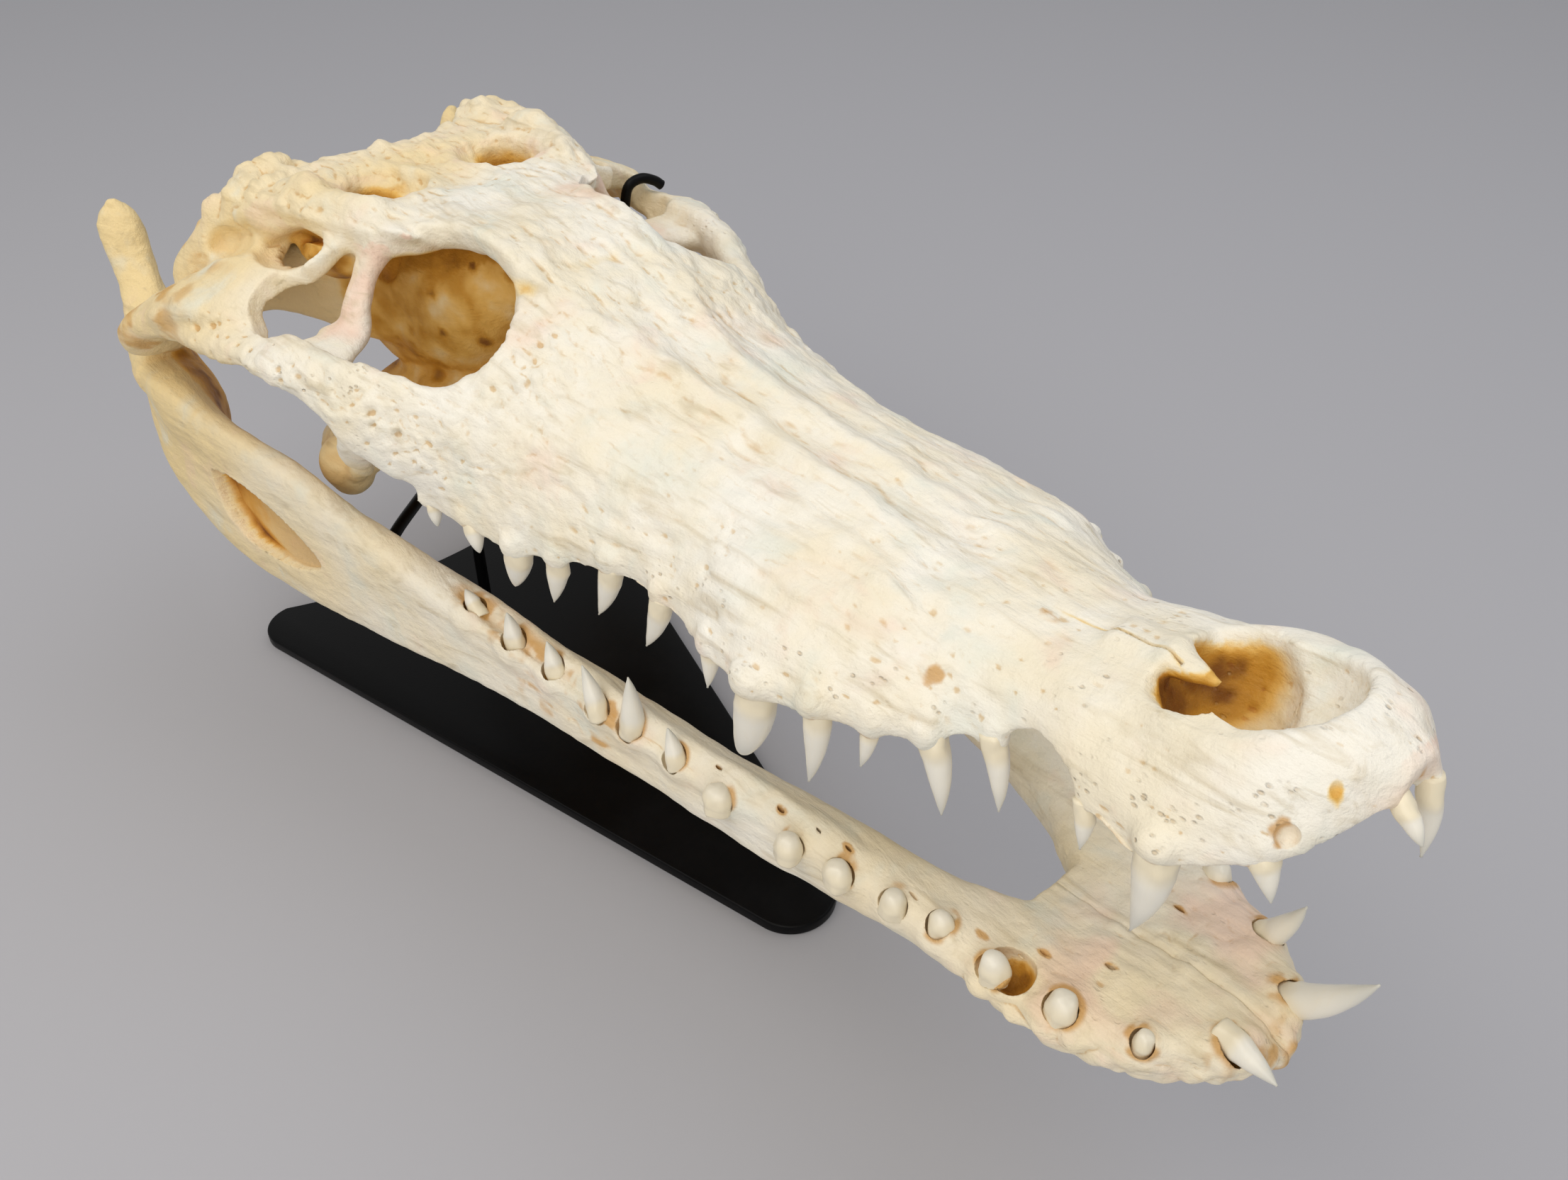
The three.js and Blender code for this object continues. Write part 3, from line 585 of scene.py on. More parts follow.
def shadeValues(piece, rays=28, reach=45):
    # how closed-in each point is, from 0 open to 1 deep, found on a coarse copy; painted into the colour as shade
    coarse = piece.copy()
    coarse.data = piece.data.copy()
    bpy.context.scene.collection.objects.link(coarse)
    remeshed(coarse, 3.2)
    mesh = coarse.data
    tree = BVHTree.FromObject(coarse, bpy.context.evaluated_depsgraph_get())
    spots, normals = pointsOf(mesh), normalsOf(mesh)
    dice = np.random.default_rng(5).normal(size=(rays, 3))
    dice /= np.linalg.norm(dice, axis=1)[:, None]
    closed = np.zeros(len(spots))
    for k, (spot, normal) in enumerate(zip(spots, normals)):
        start = Vector(spot + normal * 2)
        hits = 0.0
        for ray in dice:
            aim = Vector(ray + normal * 1.05).normalized()
            distance = tree.ray_cast(start, aim, reach)[3]
            if distance is not None:
                hits += 1 - 0.6 * distance / reach
        closed[k] = hits / rays
    closed = spread(closed, linksOf(mesh), 2)
    find = treeOf(spots)
    values = np.empty(len(piece.data.vertices))
    for k, spot in enumerate(pointsOf(piece.data)):
        found = find.find_n(spot, 3)
        weights = [1 / (item[2] + 0.3) for item in found]
        values[k] = sum(w * closed[item[1]] for w, item in zip(weights, found)) / sum(weights)
    bpy.data.objects.remove(coarse)
    return values


def cavityOf(mesh, rounds=3):
    # small dents positive, edges negative, in mm
    return np.einsum("ij,ij->i", evened(mesh, rounds) - pointsOf(mesh), normalsOf(mesh))


def store(mesh, name, values):
    attribute = mesh.attributes.new(name, "FLOAT", "POINT")
    attribute.data.foreach_set("value", np.clip(values, 0, 1).astype(np.float32))


def smoothShaded(piece):
    piece.data.polygons.foreach_set("use_smooth", [True] * len(piece.data.polygons))


# open seam that runs forward to the spine of the nostril
seamPath = [(386, -5), (398, -4), (412, -4), (424, -5), (433, -7)]


def makeCranium():
    piece = remeshed(craniumBones(), craniumShape["voxel"])
    carved(piece, craniumHollows())
    spine = bmesh.new()
    spine.from_mesh(piece.data)
    addRibbon(
        spine, [(408, -11, 29), (424, -10, 31), (434, -8.5, 32.5), (444, -6, 32.5)],
        [(408, 8, 29), (424, 5, 31), (434, 0, 32.5), (444, -3.4, 32.5)], [9, 8, 6, 3.4],
    )
    spine.to_mesh(piece.data)
    spine.free()
    remeshed(piece, craniumShape["fineVoxel"])
    relax(piece.data, craniumShape["evened"])
    sculptCranium(piece.data)
    # an empty socket, a large vessel hole, the cleft between the front teeth and the seam
    holes = bmesh.new()
    for centre, radii in (
        ((482, -30.5, 22.5), (3.2, 3.4, 3.4)), ((487, -20.5, 35.5), (2.1, 2.1, 4)), ((500, 0, 28), (5, 0.9, 7)),
    ):
        addEgg(holes, centre, radii, sides=24)
    upper, lower = (
        [(*spot, height) for spot, height in zip(seamPath, heights)]
        for heights in ((40, 40, 41, 42, 43), (31.5, 30, 30, 31, 32))
    )
    addRibbon(holes, upper, lower, [0.5, 0.9, 0.9, 0.9, 0.9], power=0.6, sides=16)
    carved(piece, newPiece("holes", holes))
    relax(piece.data, 1, 0.6)
    return piece


print("stage: cranium")
cranium = makeCranium()
print("cranium faces", len(cranium.data.polygons))


# lower jaw: x and z from the jaw joint, in mm
jawOuter = profile([
    (-52, 110), (-30, 117), (0, 121), (30, 120), (70, 115), (130, 103), (190, 91), (250, 79), (310, 68), (360, 60.5),
    (400, 54), (430, 49), (455, 46), (480, 44.5), (500, 40), (515, 33), (530, 20), (540, 6),
])
jawThickness = profile([
    (-52, 20), (-30, 31), (-6, 33), (14, 26), (40, 21), (110, 19), (200, 22), (300, 22), (380, 23), (430, 27),
    (458, 40), (466, 46), (500, 42), (540, 8),
])
jawTop = profile([
    (-52, -6), (-36, -13), (-12, -13), (10, -12), (40, -14), (90, -14), (140, -24), (200, -34), (260, -38),
    (330, -40), (390, -37), (420, -40), (455, -42), (490, -38), (515, -34), (530, -34), (540, -38),
])
jawBottom = profile([
    (-52, -28), (-36, -46), (-20, -62), (0, -74), (25, -85), (50, -91), (90, -92), (140, -86), (200, -76), (260, -71),
    (330, -68), (390, -64), (440, -62), (480, -62), (510, -58), (530, -52), (540, -46),
])

# lower right teeth; stubs stand level with their sockets
lowerTeeth = [
    ((529.6, -13.1, -35), (546, -15, -34.7), 4.9, 0.75), ((511.3, -30.8, -37.6), (511.8, -30.8, -33), 3.6, 0.3),
    ((487, -38.4, -40.3), (487.5, -38.4, -34.5), 5.2, 0.3), ((463, -42.5, -42.8), (462.5, -43, -36), 5.2, 0.35),
    ((440.1, -42.7, -43.1), (440, -42.7, -37.5), 4.4, 0.35), ((424.5, -49, -42.3), (424.5, -49, -37), 4.6, 0.3),
    ((404.8, -55.5, -40.5), (404.8, -55.5, -35.5), 5.1, 0.3), ((385.9, -60.9, -40.2), (385.9, -60.9, -35), 5.0, 0.3),
    ((352.3, -64.7, -41.9), (352.3, -64.7, -37), 5.4, 0.25), ((326.9, -64.2, -40.9), (323.5, -64.2, -30.2), 4.0, 0.7),
    ((304, -67.2, -40.3), (304.9, -67.2, -16.8), 5.0, 0.75), ((288.3, -72, -39.8), (281.8, -72, -24.3), 4.4, 0.75),
    ((261.1, -72.3, -39), (257.6, -72.3, -28.7), 4.2, 0.75), ((238.5, -76.1, -37.6), (235.8, -76.1, -26.6), 4.3, 0.7),
    ((213.7, -78.6, -35.9), (207.5, -78.6, -31.2), 4.0, 0.7),
]
lowerTeethLeft = [
    ((531.1, -13.1, -35.5), (552.5, -13.1, -5.3), 5.7, 0.8), ((512.5, -29.1, -35.4), (521, -29.1, -15), 4.4, 0.8),
] + lowerTeeth[2:]

# slits for blood vessels, inward of the tooth row
jawPores = [
    (345, -58), (374, -54), (390, -51), (402, -48.5), (428, -43), (452, -36), (466, -33), (470, -27), (488, -17),
]


def jawSkin(bm, hand):
    def place(t, angle, reach):
        x = -52 + 592 * t
        outer = jawOuter(x)
        thick = np.minimum(jawThickness(x), outer + 6 + 12 * smoothStep(x, 440, 475))
        top, bottom = jawTop(x), jawBottom(x)
        rise = squared(np.sin(angle), 0.8)
        bow = 0.8 * np.maximum(thick / 2 - 6, 0) * rise ** 2 * smoothStep(430 - x, 0, 80)
        y = outer - thick / 2 + bow + squared(np.cos(angle), 0.7) * reach * thick / 2
        return np.stack([x, y, (top + bottom) / 2 + rise * reach * (top - bottom) / 2], axis=1)
    addSkin(bm, 72, 260, place, (hand,))
    # flat floor of the chin
    addRibbon(
        bm, [(452, -8, -49), (480, -8, -46), (505, -8, -42), (524, -8, -40), (534, -8, -42)],
        [(452, 34, -49), (480, 36, -45), (505, 30, -41), (524, 18, -40), (534, 8, -42)],
        [8, 12, 12, 12, 9], (hand,), 0.5,
    )
    addRibbon(
        bm, [(-16, 96, -16), (-42, 90, -6), (-62, 86, 10), (-73, 85, 31), (-79, 92, 40)],
        [(-16, 120, -30), (-44, 114, -24), (-68, 105, 0), (-84, 102, 27), (-82, 95, 39.5)],
        [30, 22, 15, 13, 4], (hand,),
    )


def jawWindow(hand):
    # the long opening in the outer face behind the tooth row
    bm = bmesh.new()
    outline = track([
        (46, -42), (48, -52), (54, -63), (67, -71), (92, -71), (110, -66), (122, -58), (112, -49), (97, -43), (82, -38),
        (62, -37), (46, -42),
    ])
    ring = bmesh.ops.create_circle(bm, segments=72, radius=1, cap_ends=True)["verts"]
    for k, v in enumerate(ring):
        spot = outline(np.array([k / 72.0]))[0]
        v.co = (spot[0], 150 * hand, spot[1])
    wall = bmesh.ops.extrude_face_region(bm, geom=bm.faces[:])["geom"]
    # its floor slopes from deep behind to shallow in front
    for v in wall:
        if isinstance(v, bmesh.types.BMVert):
            floor = jawShape["windowDepth"] - jawShape["windowSlope"] * smoothStep(v.co.x, 62, 122)
            v.co.y = hand * (jawOuter(v.co.x) - floor)
    bmesh.ops.recalc_face_normals(bm, faces=bm.faces[:])
    return newPiece("window", bm)


def sculptJaw(mesh):
    points, normals = pointsOf(mesh), normalsOf(mesh)
    near = mirrorY(points)
    x, y, z = near.T
    up = smoothStep(normals[:, 2], 0.1, 0.6)
    swell = np.zeros(len(points))
    for base, tip, radius, blunt in lowerTeeth:
        away = np.linalg.norm((near - (base[0], base[1] * 1.03, base[2] - 3)) * (1, 0.8, 0.8), axis=1)
        swell += jawShape["toothBoss"] * radius * np.exp(-(((away - radius) / (radius * 0.8)) ** 2))
    # groove that the back teeth stand in, and the higher ridge inside it
    row = [(200, -79), (238, -76), (288, -72), (327, -65.5), (352, -64.5)]
    flat = near[:, :2]
    swell -= up * ridge(flat, row, 2.6, 3.6, 0.1, 0.3)
    crest = [(150, -84), (200, -73), (240, -69), (290, -64), (340, -56), (400, -46), (440, -36)]
    swell += up * ridge(flat, crest, 3.0, 3.4, 0.3, 0.3)
    # midline groove of the chin
    swell -= 1.1 * np.exp(-((y / 1.1) ** 2)) * smoothStep(x, 455, 475) * up
    swell += 0.8 * cloud(points, 40, 2, 23) + 0.25 * cloud(points, 10, 2, 24)
    chin = smoothStep(x, 430, 480)
    grain = cloud(points, (38, 3.0, 3.4), 3, 25) * jawShape["grain"]
    ragged = chin * (1 - 0.6 * up) * (2.6 * np.abs(cloud(points, 9, 2, 27)) - 0.6)
    ragged += 0.8 * chin * up * cloud(points, 13, 3, 28)
    pores = pitField(points, (9, 5, 5), 0.25, 26) * chin * jawShape["chinPores"]
    setPoints(mesh, points + normals * (swell + grain + ragged - pores)[:, None])


def makeJaw(hand, teeth, name):
    bm = bmesh.new()
    jawSkin(bm, hand)
    piece = remeshed(newPiece(name, bm), jawShape["voxel"])
    carved(piece, jawWindow(hand))
    relax(piece.data, jawShape["evened"])
    sculptJaw(piece.data)
    pockets = bmesh.new()
    addSockets(pockets, teeth, -hand, jawShape["socketGap"], jawShape["socketDepth"])
    if hand < 0:
        addEgg(pockets, (467, -38.5, -43), (8.4, 7.6, 9))
    for spot in jawPores:
        addEgg(pockets, (spot[0], -spot[1] * hand, -39), (2.2, 0.8, 4), sides=12)
    carved(piece, newPiece("pockets", pockets))
    relax(piece.data, 1, 0.5)
    cutAway(piece, (0, jawShape["cutAt"] * hand, 0), (0, -hand, 0))
    return piece


print("stage: lower jaw")
jawLeft = makeJaw(1, lowerTeethLeft, "mandible_half_left")
jawRight = makeJaw(-1, lowerTeeth, "mandible_half_right")


def addTooth(bm, base, tip, radius, blunt, hand):
    # bent cone with a slightly swollen neck, its root sunk in the socket
    root, point = np.array(base, float), np.array(tip, float)
    axis = point - root
    length = np.linalg.norm(axis)
    axis = axis / length
    root = root - axis * toothShape["sunk"]
    fore = np.array((1.0, 0, 0)) if abs(axis[0]) < 0.75 else np.array((0, 0, 1.0))
    fore = fore - axis * (fore @ axis)
    fore /= np.linalg.norm(fore)
    side = np.cross(axis, fore)
    whole = length + toothShape["sunk"]

    def place(t, angle, reach):
        grown = np.clip((t * whole - toothShape["sunk"] * 0.6) / (whole - toothShape["sunk"] * 0.6), 0, 1)
        girth = toothShape["stout"] * radius * (1 - grown ** 1.35) ** blunt * (1 - 0.1 * (1 - grown) ** 4)
        girth = np.where(t > 0.999, 0.35, girth) * reach
        bend = length * toothShape["bend"] * 4 * t * (1 - t)
        spot = root + axis * (whole * t)[:, None] + fore * bend[:, None]
        return spot + fore * (np.cos(angle) * girth * 1.04)[:, None] + side * (np.sin(angle) * girth * 0.94)[:, None]
    addSkin(bm, toothShape["sides"], toothShape["rings"], place, (hand,))
    return len(bm.verts), np.array(base) * (1, hand, 1), axis * (1, hand, 1), length if blunt > 0.4 else 28


def makeTeeth(name, right, left):
    bm = bmesh.new()
    made = [addTooth(bm, *tooth, hand) for hand, row in ((1, right), (-1, left)) for tooth in row]
    piece = newPiece(name, bm)
    points = pointsOf(piece.data)
    crown, first = np.zeros(len(points)), 0
    for last, base, axis, length in made:
        crown[first:last] = (points[first:last] - base) @ axis / length
        first = last
    store(piece.data, "crown", crown)
    rough = toothShape["waves"] + 0.5 * smoothStep(0.3 - crown, 0, 0.25)
    setPoints(piece.data, points + normalsOf(piece.data) * (rough * cloud(points, (4, 4, 7), 2, 31))[:, None])
    return piece


print("stage: teeth")
teethUpper = makeTeeth("teeth_upper", upperTeeth, upperTeethLeft)
teethLower = makeTeeth("teeth_lower", lowerTeeth, lowerTeethLeft)


def plateOutline():
    lean = math.radians(stand["halfAngle"])
    corner, back, turn = stand["corner"], stand["back"], math.pi / 2 - lean
    backY = (stand["nose"] - back - corner) * math.tan(lean) - corner / math.cos(lean)

    def arc(x, y, radius, start, end, count):
        return [(x + radius * math.cos(a), y + radius * math.sin(a)) for a in np.linspace(start, end, count)]
    nose = arc(stand["tip"], 0, (stand["nose"] - stand["tip"]) * math.sin(lean), -turn, turn, 40)
    left = arc(back + corner, backY, corner, turn, math.pi, 30)
    right = arc(back + corner, -backY, corner, math.pi, 2 * math.pi - turn, 30)
    hollow = [(back + 2 * stand["hollow"] * u * (1 - u), backY * (1 - 2 * u)) for u in np.linspace(0.04, 0.96, 24)]
    return nose + left + hollow + right


def standPlate():
    bm = bmesh.new()
    outline = plateOutline()
    ring = bmesh.ops.create_circle(bm, segments=len(outline), radius=1, cap_ends=True)["verts"]
    for v, (x, y) in zip(ring, outline):
        v.co = (x, y, 0)
    wall = bmesh.ops.extrude_face_region(bm, geom=bm.faces[:])["geom"]
    top = [g for g in wall if isinstance(g, bmesh.types.BMVert)]
    bmesh.ops.translate(bm, vec=(0, 0, stand["thickness"]), verts=top)
    bmesh.ops.recalc_face_normals(bm, faces=bm.faces[:])
    rims = [e for e in bm.edges if abs(e.verts[0].co.z - e.verts[1].co.z) < 0.1]
    bmesh.ops.bevel(bm, geom=rims, offset=stand["bevel"], affect="EDGES", segments=4, profile=0.5, material=-1)
    return newPiece("stand_base", bm)


def standRod(name, points, radius):
    bm = bmesh.new()
    addRod(bm, points, radius)
    return newPiece(name, bm)


def fromSkull(x, y, z):
    spot = Matrix.Rotation(-math.radians(pose["craniumPitch"]), 4, "Y") @ Vector((x, y, z))
    return (spot.x, spot.y, spot.z + pose["craniumHeight"])


def armPoints(hand):
    x, z = stand["post"], stand["armHeight"]
    return [
        (x + 3.4, hand * 3.4, z), (x + 34, hand * 34, z), (x + 60, hand * 68, z - 1), (x + 66, hand * 76, z - 12),
        (x + 67, hand * 78, z - 25), (x + 68, hand * 84, z - 32), (x + 69, hand * 94, z - 32),
    ]


print("stage: stand")
plate = standPlate()
post = standRod("stand_upright", [(2, 0, 6.3), (2, 0, 60), (2, 0, 120), (2, 0, 166)], stand["rod"])
armLeft = standRod("stand_rest_left", armPoints(1), stand["arm"])
armRight = standRod("stand_rest_right", armPoints(-1), stand["arm"])
hook = standRod("stand_hanger", [
    (2, 3.4, 108), (8, 40, 108), (14, 76, 110), *(fromSkull(*spot) for spot in (
        (16, 86, -46), (20, 87, -20), (33, 86, 14), (42, 85.5, 36), (45, 86, 48), (46.5, 88.5, 57), (48, 95, 59.5),
        (49, 101.5, 57), (49.5, 105, 54),
    )),
], stand["hook"])


# pink of the right side along lines: path, strength, width; and in single spots: centre, size, strength
blushLines = [
    ([(72, -51, 75), (72, -64, 55), (79, -76, 41)], 0.9, 11), ([(20, -30, 88), (44, -34, 84), (66, -28, 88)], 0.7, 12),
    ([(84, -50, 82), (96, -68, 76), (106, -84, 62)], 1, 14), ([(494, -6, 38), (499, -4, 30)], 0.8, 12),
]
blushSpots = [((112, 31, 86), 16, 1), ((318, -42, 24), 26, 0.3), ((213, 24, 51), 26, 0.5), ((168, -36, 66), 16, 0.6)]
stainSpots = [
    ((391, -9.5, 30), 2.7), ((375, -41, 19), 3), ((170, 17, 69), 2), ((60, -98, 55), 5), ((482, -30.5, 23), 2.8),
]


def paintCranium(piece):
    mesh = piece.data
    points, normals = pointsOf(mesh), normalsOf(mesh)
    near = mirrorY(points)
    x, y, z = near.T
    closed = shadeValues(piece) * 2.4
    # inner walls of the orbits, the temple, the ear, the upper opening and the nostril keep old brown stain
    reach = 36 + 16 * smoothStep(96 - x, 0, 10)
    inner = smoothStep(reach - np.abs(y), 0, 8) * smoothStep(79 - z, 0, 8)
    inner *= smoothStep(166 - x, 0, 14) * smoothStep(x, -24, -8)
    stained = np.maximum.reduce([
        0.8 * inner,
        0.85 * blob(near, (40, -52, 50), (30, 16, 24)),
        1.05 * blob(near, (34, -57, 66), (25, 11, 10)),
        blob(near, (38, -29, 74), (19, 16, 13.5)) * (0.4 + 0.6 * smoothStep(closed, 0.3, 0.8)),
        blob(near, (434, -6, 22), (17, 22, 15)) * smoothStep(closed, 0.4, 0.9),
    ]) * (1 + 0.34 * cloud(points, 14, 3, 43))
    spots = pitField(points, (13, 11, 11), 0.5, 47) * inner
    # painted shade: the vessel hole and the open seam are painted dark brown, as shade deeper than they are cut
    vessel = 0.75 * blob(points, (487, -20.5, 34), (2.3, 2.3, 5), 6)
    seam = 0.5 * ridge(points[:, :2], seamPath, 1, 0.7, 0.1, 0.01) * (z > 24)
    # painted shade: closed-in places are tinted towards amber and brown, held low outside the stained walls, and stored
    # in hollow together with the stain
    closed = np.minimum(closed, 0.25 + 0.75 * np.clip(stained * 1.5, 0, 1))
    store(mesh, "hollow", (np.maximum(closed, stained) + 0.4 * spots) * 0.8 + np.maximum(vessel, seam))
    # painted shade: small dents are darkened in the colour
    store(mesh, "dentShade", 0.5 + cavityOf(mesh) * 1.6)
    # yellow at the back, and a yellower tint painted as shade on faces that turn downward; whiter along the snout
    rear = smoothStep(-x, -130, 10) * 0.85 + 0.3 * smoothStep(-normals[:, 2], -0.2, 0.8) + 0.3 * smoothStep(-x, 20, 60)
    knob = blob(near, (42, -74, -24), (30, 19, 22), 6)
    store(mesh, "warm", rear + 0.25 * cloud(points, 45, 2, 41) + knob)
    blush = sum(ridge(near, path, strength, width, 0.01, 0.01) for path, strength, width in blushLines)
    blush += sum(strength * blob(points, centre, size, 2) for centre, size, strength in blushSpots)
    store(mesh, "blush", blush * (0.75 + 0.6 * cloud(points, 12, 3, 51)))
    stain = blob(points, (500, 0, 28), (6, 2.2, 9))
    ragged = 1 + 0.5 * cloud(points, 4, 2, 52)
    for spot, size in stainSpots:
        away = np.linalg.norm((points - spot) / (size * 1.5, size, size), axis=1) * ragged
        stain = np.maximum(stain, np.exp(-away ** 4))
    for base, tip, radius, blunt in upperTeeth:
        stain = np.maximum(stain, 0.8 * blob(near, (base[0], base[1], base[2] - 1), radius + 1.6, 6))
    stain *= 0.75 + 0.6 * cloud(points, 5, 3, 45)
    streaked = smoothStep(cloud(points, (26, 12, 8), 3, 49), -0.2, 0.7)
    stain += 0.5 * knob * (0.6 + 0.4 * streaked) + 0.7 * smoothStep(-x, -50, 20) * streaked * (np.abs(y) > 66)
    store(mesh, "stain", stain)
    gum = smoothStep(x, 200, 290) * smoothStep(z - toothLine(x), 34, 4)
    jugal = ridge(near, [(60, -113, 48), (98, -104, 45), (150, -88, 30)], 1, 20, 0.01, 0.3)
    store(mesh, "porous", np.maximum.reduce([gum, smoothStep(x, 440, 470), jugal]))


def paintJaw(piece):
    mesh = piece.data
    points, normals = pointsOf(mesh), normalsOf(mesh)
    near = mirrorY(points)
    x, y, z = near.T
    flat = near[:, :2]
    depth = jawOuter(x) + y
    # painted shade with amber stain: inner face at the back, walls of the opening and underside of the joint
    inside = np.maximum.reduce([
        0.85 * smoothStep(depth, 11, 19) * smoothStep(70 - x, 0, 40) * smoothStep(x, -50, -30),
        1.3 * blob(near[:, [0, 2]], (66, -56), (50, 24), 6) * smoothStep(depth, 1.5, 11) * smoothStep(-x, -126, -74),
        0.95 * blob(near, (-15, -90, -20), (36, 17, 20), 6),
    ]) * (1 + 0.3 * cloud(points, 14, 3, 44))
    # painted shade: hollow holds how closed-in each point is and these walls, darkened towards brown
    store(mesh, "hollow", np.maximum(shadeValues(piece) * 2.0, inside) * 0.8)
    # painted shade: small dents are darkened in the colour
    store(mesh, "dentShade", 0.5 + cavityOf(mesh) * 1.6)
    store(mesh, "warm", 0.38 + 0.25 * cloud(points, 60, 2, 42) + 0.5 * smoothStep(-x, -200, 20))
    patches = smoothStep(cloud(points, 20, 3, 48), -0.5, 0.7)
    store(mesh, "blush", 0.7 * smoothStep(x, 440, 490) * smoothStep(normals[:, 2], 0, 0.7) * patches)
    stains = [0.7 * smoothStep(x, 525, 540)]
    stains += [blob(near, base, radius + 2.6, 6) for base, tip, radius, blunt in lowerTeeth]
    stains += [blob(flat, pore, (3.2, 1.6)) for pore in jawPores]
    row = ridge(flat, [(190, -79), (238, -76), (288, -71), (320, -66)], 1, 7, 0.15, 0.3)
    stains.append(0.9 * row * smoothStep(normals[:, 2], -0.3, 0.3))
    rim = np.linalg.norm(flat - np.clip(flat, (446, -24), (512, 0)), axis=1)
    patches = smoothStep(x, 440, 470) * smoothStep(cloud(points, 9, 3, 50), 0, 0.7)
    stains.append(0.5 * smoothStep(rim, 8, 18) * patches)
    store(mesh, "stain", np.maximum.reduce(stains) * (0.35 + 0.75 * smoothStep(cloud(points, 7, 3, 46), -0.35, 0.45)))
    store(mesh, "porous", 0.05 + 0.3 * smoothStep(x, 420, 480))


print("stage: colours")
paintCranium(cranium)
paintJaw(jawLeft)
paintJaw(jawRight)


def hexColour(text):
    # sRGB hex to the linear values that shaders take
    parts = [int(text[k:k + 2], 16) / 255 for k in (0, 2, 4)]
    return (*[c / 12.92 if c <= 0.04045 else ((c + 0.055) / 1.055) ** 2.4 for c in parts], 1)


def addNode(material, kind, settings=None, links=None):
    # a node with its settings and what its inputs are linked to
    node = material.node_tree.nodes.new(kind)
    for name, value in (settings or {}).items():
        if isinstance(name, int) or name in node.inputs.keys():
            node.inputs[name].default_value = value
        else:
            setattr(node, name, value)
    for name, source in (links or {}).items():
        material.node_tree.links.new(source, node.inputs[name])
    return node


def newMaterial(name):
    material = bpy.data.materials.new(name)
    material.use_nodes = True
    material.node_tree.nodes.clear()
    return material


def tinted(material, finish, base, layers):
    # tints laid over a base colour, each by its mask: where it starts, where it is full, how strong, and its name
    below = {}
    for mask, low, high, strength, tint, *blend in layers:
        amount = addNode(material, "ShaderNodeMapRange", {
            "From Min": low, "From Max": high, "To Max": strength, "interpolation_type": "SMOOTHSTEP",
        }, {"Value": mask}).outputs["Result"]
        colour = addNode(material, "ShaderNodeMix", {
            "data_type": "RGBA", "blend_type": blend[0] if blend else "MIX",
            6: hexColour(finish[base]), 7: hexColour(finish[tint]),
        }, {0: amount, **below}).outputs[2]
        below = {6: colour}
    return colour


boneFinish = {
    "ivory": "F0E6CD", "white": "F4F0E4", "warm": "EFD7A0", "blush": "F0CDB8", "cool": "E0E4D8",
    "ochre": "E6B75C", "amber": "C8902F", "brown": "6E3A0C", "grime": "BCAA84", "dent_shade_tint": "DCBB86",
    "pore": "C8AC80", "roughness": 0.55, "specular": 0.35, "skullYellow": 0.88, "jawYellow": 1.0,
    "grainScale": 560, "grainBump": 0.3, "streakScale": 150, "streakBump": 0.45, "patchScale": 22,
    "mottleScale": 210, "mottleBump": 0.6, "poreSize": 2.3, "poreBump": 0.7,
}


